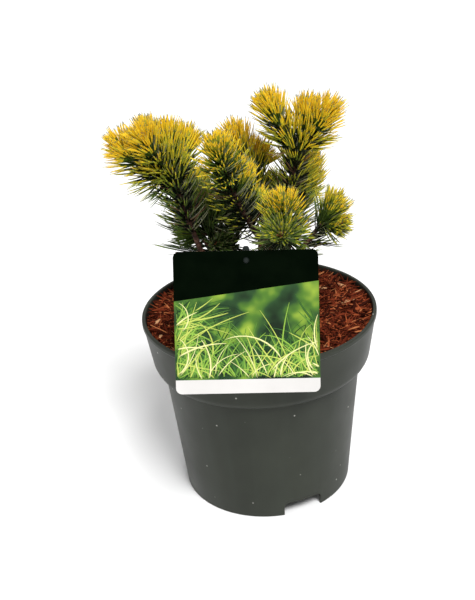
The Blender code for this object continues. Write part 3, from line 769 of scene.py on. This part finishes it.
SIDE_BUD_LEAN = 0.42
# A bud's rings: the share of its length, and the radius there as a share of its length
BUD_RINGS = (0, 0.10, 0.22, 0.36, 0.50, 0.64, 0.78, 0.90)
BUD_GIRTHS = (0.10, 0.17, 0.205, 0.215, 0.195, 0.155, 0.105, 0.055)
BUD_SIDES = 10
SCALE_RELIEF = 0.13


def slanted(bearing, lean):
    """The way that leans from upright by an angle towards a bearing, both in degrees."""
    angle = math.radians(lean)
    return math.sin(angle) * level(bearing) + math.cos(angle) * UP


def grown(start, way, length):
    """A shoot of this length that starts off this way and turns up a little."""
    end = start + way * length
    lean = math.sqrt(max(0.0, 1 - way[2] ** 2))
    return Arc(start, (start + end) / 2 - UP * TWIG_SAG * length * lean, end)


def main_shoots(name):
    """The arcs of a mass's shoots, as in the solids, and whether each ends in a bud, not a fork."""
    arcs = []
    for shoot in SHOOTS[name]:
        first = shoot.parent is None
        start = boughs[name].end if first else arcs[shoot.parent].points(shoot.share)
        arcs.append(grown(start, slanted(shoot.bearing, shoot.lean), shoot.length * MM))
    forks = any(shoot.share > FORK_SHARE for shoot in SHOOTS[name])
    return [(arc, number > 0 or not forks) for number, arc in enumerate(arcs)]


shoots = {name: main_shoots(name) for name in SHOOTS}
twigs, bud_feet = [], []
for name, group in shoots.items():
    for number, (arc, has_bud) in enumerate(group):
        foot = BOUGHS[name].thin * MM if number == 0 else TWIG_FOOT
        radius_at = tapering(foot, TWIG_TIP)
        twigs.append(barked(arc, radius_at, TWIG_SIDES, step=0.9 * MM, cushion=0.22, seed=number))
        if has_bud:
            bud_feet.append((arc.end, arc.ways(1.0)))
twig_bark = bark_finish(
    "twig_bark", dark=(0.018, 0.009, 0.006), middle=(0.055, 0.024, 0.016), light=(0.150, 0.080, 0.055)
)
twig_wood = limb_piece("twigs", twigs, TWIG_SIDES, twig_bark)

# One end bud and a few smaller ones round its foot, each with scales in a chequer of low and high
rng = np.random.default_rng(11)
places, ways, sizes = [], [], []
for place, way in bud_feet:
    side, other = square_to(way)
    places.append(place - way * BUD_SUNK)
    ways.append(way)
    sizes.append(BUD_LENGTH)
    for number in range(SIDE_BUDS):
        turn = number * SIDE_BUD_TURN + rng.uniform(0, 1)
        out = math.cos(turn) * side + math.sin(turn) * other
        places.append(place - way * SIDE_BUD_SUNK + out * SIDE_BUD_OUT)
        ways.append(unit(way + SIDE_BUD_LEAN * out))
        sizes.append(BUD_LENGTH * rng.uniform(*SIDE_BUD_LENGTHS))
places, ways, sizes = np.array(places)[:, None], np.array(ways)[:, None], np.array(sizes)[:, None]
side, other = square_to(ways)
angle = np.linspace(0, 2 * math.pi, BUD_SIDES, endpoint=False)
section = np.stack((np.cos(angle), np.sin(angle)), 1)
centres = places + (BUD_RINGS * sizes)[:, :, None] * ways
points = swept(centres, side, other, BUD_GIRTHS * sizes, section)
high = np.add.outer(np.arange(len(BUD_RINGS)), np.arange(BUD_SIDES)) % 2
relief = 1 + SCALE_RELIEF * (high.ravel() - 0.5)
axis_points = np.repeat(centres, BUD_SIDES, axis=1)
points = axis_points + (points - axis_points) * relief[None, :, None]
tips = places + sizes[:, :, None] * ways
points = np.concatenate((points, tips), 1)
shape = ring_shape(len(BUD_RINGS), BUD_SIDES, pointed=True)
bud_tones = [
    new_finish("bud_red", (0.20, 0.060, 0.028), 0.5, Coat_Weight=0.15),
    new_finish("bud_orange", (0.42, 0.17, 0.060), 0.5, Coat_Weight=0.15),
    new_finish("bud_resin", (0.52, 0.34, 0.22), 0.6),
]
tones = rng.choice(3, (len(points), len(shape)), p=(0.45, 0.4, 0.15))
buds = joined_copies("buds", points, shape, tones, bud_tones)
for piece in (twig_wood, buds):
    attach(piece, "root")


# Needles. Mountain pine carries stiff needles in pairs from short sheaths, all round each shoot,
# flat inside and round outside. They are green at the foot and in the shade, and darkened there
# towards black as painted shade, and turn through yellow to gold towards the tips and the light;
# some of the oldest are dry and brown.
GOLDEN_ANGLE = math.pi * (3 - math.sqrt(5))
NEEDLE_LENGTH = 29.5 * MM
NEEDLE_WIDTH = 1.25 * MM
LENGTH_SPREAD = (0.82, 1.06)
TWIN_LENGTHS = (0.95, 1.0)
TWINS_APART = (0.02, 0.09)
TWINS_SLANTED = (0, 0.05)
PAIR_STEP = 0.31 * MM
STEP_SPREAD = (0.7, 1.3)
STEM_BARE = 2.5 * MM
BUD_CLEAR = 5 * MM
TUFT_PAIRS = 16
TUFT_LEAN = 36
TUFT_DEPTH = 4 * MM
TUFT_LENGTHS = (0.42, 0.62)
HANGING_PAIRS = 22
HANGING_REACH = 18 * MM
LONG_HANGING_REACH = 34 * MM
HANGING_TURN = 75
HANGING_LEANS = (65, 118)
HANGING_LENGTHS = (0.55, 1.40)
OLD_BEND = 0.30
YOUNG_BEND = 0.08
BEND_UP = 0.12
BEND_SWAY = 0.05
# How needles change with the distance from a bud's foot, in millimetres: their lean and its
# scatter in degrees, their length and their spacing as shares, and how young they are. A shoot
# that forks counts as going on for FORK_DISTANCE more.
TIP_DISTANCES = (0, 6, 13, 15, 25, 28, 42, 60)
LEANS = (18, 25, 35, 44, 48, 40, 54, 60)
SCATTERS = (9, 9, 7, 8, 6, 6, 5, 5)
SIZES = (0.72, 0.88, 1.0, 0.90, 0.88, 0.96, 0.92, 0.88)
SPACINGS = (0.5, 0.5, 0.5, 1.4, 1.4, 0.9, 1.3, 1.5)
YOUTHS = (1.0, 1.0, 1.0, 0.7, 0.4, 0.7, 0.1, 0.0)
FORK_DISTANCE = 25
# How much further from its own shoots than from another mass's a needle may be
CROSSING = 5 * MM
# From deep green to gold; the darkest tones, near black, are painted shade more than the needles' own
# green
NEEDLE_TONES = (
    (0.005, 0.009, 0.003),
    (0.014, 0.024, 0.006),
    (0.032, 0.058, 0.013),
    (0.072, 0.125, 0.020),
    (0.155, 0.212, 0.024),
    (0.300, 0.325, 0.028),
    (0.460, 0.435, 0.028),
    (0.640, 0.540, 0.030),
    (0.790, 0.595, 0.027),
    (0.860, 0.570, 0.022),
)
SHEATH, TIP, HIGHLIGHT, DRY = (len(NEEDLE_TONES) + i for i in range(4))
# The shares of needles with a darker tip, with a painted highlight (a pale strip along one face of
# their green that stands for the needle's gloss), and dry ones among the old, outside and in the
# middle of the plant
TIPPED = 0.7
PAINTED_HIGHLIGHTS = 0.44
PALEST_PAINTED_HIGHLIGHT = 5
DRIED = 0.05
DRIED_INSIDE = 0.22
DRIED_YOUTH = 0.35
TINT_SCATTER = 0.15
# The foot's place on the scale of tones: its lowest tones are painted shade at the shoot's inside
FOOT_GOLD = 0.06
YOUNG_FOOT_GOLD = 0.30
GOLD_RISE = 0.34
SHADED_BELOW = 200 * MM
SUNLIT_ABOVE = 250 * MM
EVEN_LIGHT = 0.55
LIGHT_FROM_ABOVE = 0.25
LIGHT_FROM_OUTSIDE = 0.35
# How golden each mass's old and young needles are, and the share of a needle where gold begins
MASS_GOLD = {
    "centre_front": (0.68, 1.02, 0.54),
    "centre_back": (0.60, 1.02, 0.36),
    "right_tall": (0.74, 1.06, 0.42),
    "left": (0.46, 1.06, 0.42),
    "right_low": (0.62, 0.92, 0.54),
    "front": (0.72, 1.04, 0.54),
    "inner_left": (0.32, 0.46, 0.30),
    "inner_right": (0.34, 0.48, 0.30),
    "inner_back": (0.30, 0.42, 0.30),
    "back_left": (0.52, 0.88, 0.26),
    "back_right": (0.52, 0.88, 0.26),
    "back_low": (0.42, 0.66, 0.30),
}
BOX_EASE = Vector((1, 1, 1)) * 0.5 * MM
# The label card stands before the needles, which keep behind it
CARD_WIDTH = 105 * MM
CARD_HEIGHT = 103.6 * MM
CARD_TILT = math.radians(22.8)
CARD_TURN = math.radians(2.1)


def tree_of(group):
    """A search tree of points all along the shoots of one mass."""
    points = np.concatenate([arc.points(np.linspace(0, 1, 24)) for arc, _ in group])
    tree = KDTree(len(points))
    for index, point in enumerate(points):
        tree.insert(point, index)
    tree.balance()
    return tree


card_turned = Matrix.Rotation(math.pi / 2 - CARD_TILT, 4, "X") @ Matrix.Rotation(-CARD_TURN, 4, "Z")
card_low, card_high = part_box("label_card")
card_place = Matrix.Translation((card_low + card_high) / 2) @ card_turned
to_card = card_place.inverted()
space_trees = {name: tree_of(group) for name, group in shoots.items()}
lowest = Vector(cad_box[0]) - BOX_EASE
highest = Vector(cad_box[1]) + BOX_EASE


def admitted(name, place):
    """True where the mass may have a needle: in its own space, clear of the pot and the card."""
    point = Vector(place)
    own = space_trees[name].find(point)[2] - CROSSING
    if own > NEEDLE_LENGTH + 4 * MM:
        return False
    if any(tree.find(point)[2] < own for other, tree in space_trees.items() if other != name):
        return False
    if math.hypot(point.x, point.y) < POT_RIM + 2 * MM and point.z < POT_TOP + 3 * MM:
        return False
    on_card = to_card @ point
    beside = abs(on_card.x) > CARD_WIDTH / 2 + 1 * MM or on_card.y > CARD_HEIGHT / 2 + 2 * MM
    inside = all(low <= value <= high for low, value, high in zip(lowest, point, highest))
    return inside and (beside or on_card.z < -2.5 * MM)


def leant(along, lean, turn):
    """The way that leans by degrees from a shoot's own way, at a turn round it."""
    side, other = square_to(along)
    out = math.cos(turn) * side + math.sin(turn) * other
    return math.cos(math.radians(lean)) * along + math.sin(math.radians(lean)) * out


def pairs_on(arc, has_bud, plan, rng):
    """Each pair of needles on a shoot: its share along it, its way, its length and how young it is."""
    length = arc.length()
    last = length - (BUD_CLEAR if has_bud else 0)
    along = max(STEM_BARE if plan.parent is None else 0, plan.bare * MM)
    number = 0
    while along < last:
        to_tip = (last - along) / MM + (0 if has_bud else FORK_DISTANCE)
        lean, scatter, size, spacing, youth = (
            np.interp(to_tip, TIP_DISTANCES, values)
            for values in (LEANS, SCATTERS, SIZES, SPACINGS, YOUTHS)
        )
        lean = (lean + rng.gauss(0, scatter)) * plan.spread
        size *= NEEDLE_LENGTH * rng.uniform(*LENGTH_SPREAD) * plan.size
        share = along / length
        yield share, leant(arc.ways(share), lean, number * GOLDEN_ANGLE), size, youth
        along += PAIR_STEP * spacing * rng.uniform(*STEP_SPREAD)
        number += 1
    if has_bud:
        for i in range(TUFT_PAIRS):
            lean = TUFT_LEAN * math.sqrt((i + 0.5) / TUFT_PAIRS)
            size = NEEDLE_LENGTH * rng.uniform(*TUFT_LENGTHS) / math.cos(math.radians(lean))
            share = (last - rng.uniform(0, TUFT_DEPTH)) / length
            yield share, leant(arc.ways(share), lean, i * GOLDEN_ANGLE), size * plan.size, 1.0


def hanging_pairs(name, rng):
    """The oldest pairs of a mass, which hang outwards from the end of its bough."""
    reach = LONG_HANGING_REACH if name == "left" else HANGING_REACH
    for _ in range(HANGING_PAIRS):
        share = 1 - rng.uniform(0, reach) / boughs[name].length()
        bearing = BOUGHS[name].bearing + rng.uniform(-HANGING_TURN, HANGING_TURN)
        way = slanted(bearing, rng.uniform(*HANGING_LEANS))
        size = NEEDLE_LENGTH * rng.uniform(*HANGING_LENGTHS) * SHOOTS[name][-1].size
        yield share, way, size, 0.0


def needles_of(name):
    """Every needle of a mass: its root, way, bend and length, its shoot's way, how young it is, and
    its own tint."""
    rng = random.Random("needles " + name)
    growths = [(boughs[name], 1.0, hanging_pairs(name, rng))]
    for plan, (arc, has_bud) in zip(SHOOTS[name], shoots[name]):
        growths.append((arc, plan.gold, pairs_on(arc, has_bud, plan, rng)))
    lines = []
    for arc, gold, pairs in growths:
        for share, pair_way, size, youth in pairs:
            root, along = arc.points(share), arc.ways(share)
            beside = unit(np.cross(along, pair_way))
            for leaf in (-1, 1):
                apart = rng.uniform(*TWINS_APART) * beside + rng.uniform(*TWINS_SLANTED) * along
                way = unit(pair_way + leaf * apart)
                sway = np.array([rng.gauss(0, 1) for _ in range(3)])
                stiff = OLD_BEND + (YOUNG_BEND - OLD_BEND) * youth
                bend = stiff * along + BEND_UP * UP + BEND_SWAY * sway
                length = size * rng.uniform(*TWIN_LENGTHS)
                tip = root + length * (way + bend * 0.5)
                middle = root + length * (0.5 * way + bend * 0.125)
                if admitted(name, tip) and admitted(name, middle):
                    tint = gold * (1 + rng.gauss(0, TINT_SCATTER))
                    lines.append((root, way, bend, length, along, youth, tint))
    return lines


def gold_along(name, roots, ways, youth, tint, share):
    """How golden each needle is at each share of its length, from 0 to 1. A needle gets more light
    as it points up and outwards, and as it stands higher. More light gives more gold, as on the
    plant itself; less light gives darker needles, down to near black, and that darkening is painted
    shade."""
    old_gold, young_gold, start = MASS_GOLD[name]
    rise = roots[:, 2] - SHADED_BELOW
    outward = unit(np.stack((roots[:, 0], roots[:, 1], 0.4 * rise), 1))
    light = EVEN_LIGHT + LIGHT_FROM_ABOVE * ways[:, 2]
    light = np.clip(light + LIGHT_FROM_OUTSIDE * (ways * outward).sum(1), 0, 1.1)
    height = np.clip(rise / (SUNLIT_ABOVE - SHADED_BELOW), 0, 1)
    tip = (old_gold + (young_gold - old_gold) * youth) * tint
    tip *= (0.72 + 0.28 * height) * (0.60 + 0.42 * light)
    # The low values at the foot give near-black needle feet: painted shade inside the shoots
    foot = FOOT_GOLD + YOUNG_FOOT_GOLD * youth * light
    turn = np.clip((share - start) / GOLD_RISE, 0, 1)
    turn = turn * turn * (3 - 2 * turn)
    return np.clip(foot[:, None] + (tip - foot)[:, None] * turn, 0, 0.999)


needle_finishes = [
    new_finish(f"needle_tone_{number}", colour, 0.40, Specular_IOR_Level=0.25)
    for number, colour in enumerate(NEEDLE_TONES)
]
needle_finishes += [
    new_finish("needle_sheath", (0.11, 0.065, 0.040), 0.8),
    new_finish("needle_tip", (0.13, 0.13, 0.045), 0.6),
    # This pale grey-green is a painted highlight for the gloss on the needles' darker faces
    new_finish("needle_painted_highlight", (0.30, 0.31, 0.17), 0.5),
    new_finish("needle_dry", (0.170, 0.085, 0.040), 0.7),
]
# A needle's rings: the share of its length, and the width there; its section has a flat side
share = np.array((0.0, 0.10, 0.32, 0.55, 0.76, 0.91))
girth = np.array((0.62, 0.92, 1.0, 0.98, 0.82, 0.48))
section = np.array(((-0.5, -0.14), (0.5, -0.14), (0.30, 0.32), (-0.30, 0.32)))
middles = (share + np.append(share[1:], 1.0)) / 2
needle_shape = ring_shape(len(share), len(section), pointed=True)
for name in SHOOTS:
    roots, ways, bends, lengths, alongs, youth, tint = map(np.array, zip(*needles_of(name)))
    count = len(roots)
    root, way, bend, along = (each[:, None, :] for each in (roots, ways, bends, alongs))
    reach = lengths[:, None, None]
    s = share[None, :, None]
    centres = root + reach * (way * s + bend * s * s / 2)
    heading = unit(way + bend * s)
    side = unit(np.cross(heading, along))
    sizes = np.tile(NEEDLE_WIDTH * girth, (count, 1))
    rings = swept(centres, side, np.cross(side, heading), sizes, section)
    points = np.concatenate((rings, root + reach * (way + bend / 2)), 1)
    gold = gold_along(name, roots, ways, youth, tint, middles)
    tone = (gold * len(NEEDLE_TONES)).astype(int)
    tone[:, 0] = SHEATH
    draws = np.random.default_rng(count).random((count, 3))
    tone[draws[:, 0] < TIPPED, -1] = TIP
    faces = np.repeat(tone[:, :, None], len(section), axis=2)
    # A pale strip along one face of the darker needles is a painted highlight, for the needle's gloss
    with_highlight = (draws[:, 1] < PAINTED_HIGHLIGHTS)[:, None] & (tone < PALEST_PAINTED_HIGHLIGHT)
    faces[:, 1:-1, 1][with_highlight[:, 1:-1]] = HIGHLIGHT
    dried = DRIED_INSIDE if name.startswith("inner") else DRIED
    faces[(draws[:, 2] < dried) & (youth < DRIED_YOUTH), 1:] = DRY
    tones = np.concatenate((tone[:, :1], faces.reshape(count, -1)), 1)
    needles = joined_copies("needles_" + name, points, needle_shape, tones, needle_finishes)
    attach(needles, "root")
    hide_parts("foliage_" + name)


# Label card. A square of stiff white plastic sheet with rounded corners, printed on its front with
# a dark band, a picture ground and a bare strip, and punched for the stake's button. It leans on
# the rim. The print here is a plain design of arching grass blades.
CARD_THICKNESS = 0.8 * MM
CARD_ROUNDING = 4.5 * MM
HOLE_PLACE = Vector((0.5 * MM, CARD_HEIGHT / 2 - 7.2 * MM, 0))
HOLE_RADIUS = 2 * MM
BAND_EDGE = 22.5 * MM
BAND_SLOPE = 0.125
STRIP_EDGE = -CARD_HEIGHT / 2 + 10.2 * MM
# Where each colour begins in the faint clouds of the bare sheet, the band and the picture ground
WHITE_TONES = ((0.35, (0.560, 0.545, 0.530)), (0.65, (0.600, 0.585, 0.570)))
BAND_TONES = ((0.35, (0.0009, 0.0023, 0.0010)), (0.65, (0.0016, 0.0035, 0.0015)))
GROUND_TONES = (
    (0.34, (0.012, 0.022, 0.012)),
    (0.46, (0.024, 0.060, 0.022)),
    (0.56, (0.070, 0.160, 0.025)),
    (0.70, (0.260, 0.370, 0.045)),
)

deselect_all()
bpy.ops.mesh.primitive_plane_add(size=1)
card = bpy.context.object
card.name = "card_sheet"
card.scale = (CARD_WIDTH, CARD_HEIGHT, 1)
bpy.ops.object.transform_apply()
edit(card)
bpy.ops.mesh.bevel(offset=CARD_ROUNDING, segments=8, affect="VERTICES")
bpy.ops.mesh.select_all(action="SELECT")
bpy.ops.mesh.bisect(plane_co=(0, BAND_EDGE, 0), plane_no=(-BAND_SLOPE, 1, 0))
bpy.ops.mesh.select_all(action="SELECT")
bpy.ops.mesh.bisect(plane_co=(0, STRIP_EDGE, 0), plane_no=(0, 1, 0))
leave_edit()
apply_modifier(card, "SOLIDIFY", thickness=CARD_THICKNESS, offset=0)
deselect_all()
bpy.ops.mesh.primitive_cylinder_add(
    vertices=32, radius=HOLE_RADIUS, depth=4 * MM, location=HOLE_PLACE
)
cut(card, bpy.context.object)
card_white = new_finish("card_white", (0.58, 0.565, 0.55), 0.35, Specular_IOR_Level=0.3)
w = Weave(card_white)
w.to("Base Color", w.ramp(w.noise(30, 3), *WHITE_TONES))
card_band = new_finish("card_band", (0.0012, 0.0028, 0.0012), 0.5, Specular_IOR_Level=0.0)
w = Weave(card_band)
w.to("Base Color", w.ramp(w.noise(60, 3), *BAND_TONES))
card_ground = new_finish("card_ground", (0.03, 0.07, 0.02), 0.45, Specular_IOR_Level=0.05)
w = Weave(card_ground)
w.to("Base Color", w.ramp(w.noise(48, 2), *GROUND_TONES))
for finish in (card_white, card_band, card_ground):
    card.data.materials.append(finish)
for face in card.data.polygons:
    if face.normal.z > 0.9:
        in_band = face.center.y - BAND_SLOPE * face.center.x > BAND_EDGE
        on_strip = face.center.y < STRIP_EDGE
        face.material_index = 0 if on_strip else 1 if in_band else 2
card.data.transform(card_place)
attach(card, "root")
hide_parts("label_card")

# The printed blades, from the dark ones behind to the light ones in front: tones and how many
BLADE_TONES = (
    ((0.014, 0.045, 0.016), 90),
    ((0.040, 0.120, 0.026), 100),
    ((0.110, 0.250, 0.040), 95),
    ((0.240, 0.420, 0.060), 80),
    ((0.470, 0.560, 0.110), 50),
    ((0.740, 0.740, 0.330), 28),
)
# Where the tufts of blades stand on the card and how long and wide the blades are, in
# millimetres, and which way they arch, in degrees
TUFTS = (
    (-58, -44, 62),
    (-30, -50, 88),
    (2, -52, 75),
    (34, -50, 104),
    (60, -40, 122),
    (-60, -10, 40),
)
TUFT_WIDTH = 9
HEADING_SCATTER = 26
CURL = 0.032
BLADE_LENGTHS = (16, 52)
BLADE_WIDTHS = (0.8, 1.7)
BLADE_STEPS = 10
SHORTEST_BLADE = 4
PRINT_MARGIN = 0.8
INK_STEP = 0.012


def printed_line(rng):
    """The middle of one blade on the card, in millimetres, cut off where the picture ground ends.
    Too little left gives None."""
    x, y, heading = TUFTS[rng.integers(len(TUFTS))]
    foot = (x, y) + rng.normal(0, TUFT_WIDTH, 2)
    heading = math.radians(heading + rng.normal(0, HEADING_SCATTER))
    curl = rng.normal(0, CURL)
    length = rng.uniform(*BLADE_LENGTHS)
    turns = heading + curl * length * blade_t
    steps = np.stack((np.cos(turns), np.sin(turns)), 1) * length / BLADE_STEPS
    line = foot + np.cumsum(steps, axis=0)
    x, y = line.T
    inside = (np.abs(x) < CARD_WIDTH / MM / 2 - PRINT_MARGIN) & (y > STRIP_EDGE / MM + PRINT_MARGIN)
    inside &= y - BAND_SLOPE * x < BAND_EDGE / MM - PRINT_MARGIN
    first = int(np.argmax(inside))
    stop = BLADE_STEPS if inside[first:].all() else first + int(np.argmin(inside[first:]))
    if stop - first < SHORTEST_BLADE:
        return None
    kept = np.clip(np.linspace(first, stop - 1, BLADE_STEPS), 0, BLADE_STEPS - 1)
    return np.stack([np.interp(kept, np.arange(BLADE_STEPS), values) for values in (x, y)], 1)


rng = np.random.default_rng(23)
blade_t = np.linspace(0, 1, BLADE_STEPS)
blade_girth = np.sqrt(np.clip(1.06 - blade_t, 0, 1)) * np.clip(0.45 + 3 * blade_t, 0, 1)
blade_section = np.array(((-0.5, 0.0), (0.5, 0.0), (0.0, 0.02)))
blade_shape = ring_shape(BLADE_STEPS, 3, pointed=False)
points, tones = [], []
for tone, (_, count) in enumerate(BLADE_TONES):
    made = 0
    while made < count:
        line = printed_line(rng)
        if line is None:
            continue
        height = CARD_THICKNESS / MM / 2 + 0.02 + INK_STEP * tone + 0.0001 * made
        centres = np.concatenate((line, np.full((BLADE_STEPS, 1), height)), 1) * MM
        slope = unit(np.gradient(line, axis=0))
        across = np.stack((-slope[:, 1], slope[:, 0], np.zeros(BLADE_STEPS)), 1)
        size = rng.uniform(*BLADE_WIDTHS) * blade_girth * MM
        up = np.broadcast_to(UP, across.shape)
        points.append(swept(centres[None], across[None], up[None], size[None], blade_section)[0])
        tones.append([tone] * len(blade_shape))
        made += 1
on_card = np.array(points) @ np.array(card_place.to_3x3()).T + np.array(card_place.translation)
blade_finishes = [
    new_finish(f"print_green_{number}", colour, 0.40, Specular_IOR_Level=0.1)
    for number, (colour, _) in enumerate(BLADE_TONES)
]
blades = joined_copies("card_print_blades", on_card, blade_shape, np.array(tones), blade_finishes)
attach(blades, "root")


# Label stake. A flat black stake with a round head, moulded in one piece with the button that the
# card is pressed onto. Its solid has the right shape and stays, in a finish of its own.
stake_plastic = new_finish("stake_plastic", (0.008, 0.011, 0.010), 0.42, Specular_IOR_Level=0.15)
w = Weave(stake_plastic)
w.to("Roughness", w.ramp(w.noise(240, 3), (0.3, 0.32), (0.7, 0.48)))
w.bump(w.noise(900, 2), 0.04 * MM, 0.4)
stake = frame["nodes"]["label_stake"]
stake.data.materials.clear()
stake.data.materials.append(stake_plastic)


# Studio. A pale floor that runs out of sight, a bright even sky, a broad soft light from above and
# before the plant, weaker ones from the left and from behind, and the camera where the photograph
# was taken from.
FLOOR_SIZE = 30
SKY_LIGHT = 0.30

deselect_all()
bpy.ops.mesh.primitive_plane_add(size=FLOOR_SIZE)
floor = bpy.context.object
floor.name = "studio_floor"
floor.data.materials.append(new_finish("floor_white", (0.86, 0.86, 0.86), 0.9))
floor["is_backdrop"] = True

# The camera sees a plain white sky, which lights the plant more weakly than it looks
world = bpy.data.worlds.new("studio_sky")
bpy.context.scene.world = world
world.use_nodes = True
sky = world.node_tree.nodes["Background"]
sky.inputs["Color"].default_value = (1, 1, 1, 1)
seen = world.node_tree.nodes.new("ShaderNodeMapRange")
path = world.node_tree.nodes.new("ShaderNodeLightPath")
seen.inputs["To Min"].default_value = SKY_LIGHT
seen.inputs["To Max"].default_value = 1.0
world.node_tree.links.new(path.outputs["Is Camera Ray"], seen.inputs["Value"])
world.node_tree.links.new(seen.outputs["Result"], sky.inputs["Strength"])


def soft_light(name, way_from, spread, strength):
    """A broad even light that comes from a direction, as from a large soft box."""
    light = bpy.data.lights.new(name, "SUN")
    light.angle = math.radians(spread)
    light.energy = strength
    lamp = bpy.data.objects.new(name, light)
    lamp.rotation_euler = Vector(way_from).to_track_quat("Z", "Y").to_euler()
    bpy.context.scene.collection.objects.link(lamp)


soft_light("key_light", (0.3, -0.75, 1.15), 22, 3.6)
soft_light("fill_light", (-0.8, -0.9, 0.7), 50, 0.7)
soft_light("back_light", (0.2, 0.9, 1.2), 40, 0.7)
bpy.context.scene.view_settings.view_transform = "Standard"

# The camera's place and axes were solved from the pot's circles
CAMERA_PLACE = Vector((0, -0.72548, 0.52323))
CAMERA_RIGHT = Vector((0.99811182, -0.00715125, -0.06100538))
CAMERA_UP = Vector((0.05783876, 0.44374323, 0.89428554))
FOCAL_PIXELS = 1001.745
PHOTO_HEIGHT = 600
camera_data = bpy.data.cameras.new("photo_camera")
camera_data.sensor_width = 36
camera_data.lens = FOCAL_PIXELS * camera_data.sensor_width / PHOTO_HEIGHT
camera_data.clip_end = 100
camera = bpy.data.objects.new("photo_camera", camera_data)
turn = Matrix((CAMERA_RIGHT, CAMERA_UP, CAMERA_RIGHT.cross(CAMERA_UP))).transposed().to_4x4()
camera.matrix_world = Matrix.Translation(CAMERA_PLACE) @ turn
bpy.context.scene.collection.objects.link(camera)
bpy.context.scene.camera = camera

boxes = {"cad": cad_box, "visual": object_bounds()}
{name: [list(corner) for corner in box] for name, box in boxes.items()}
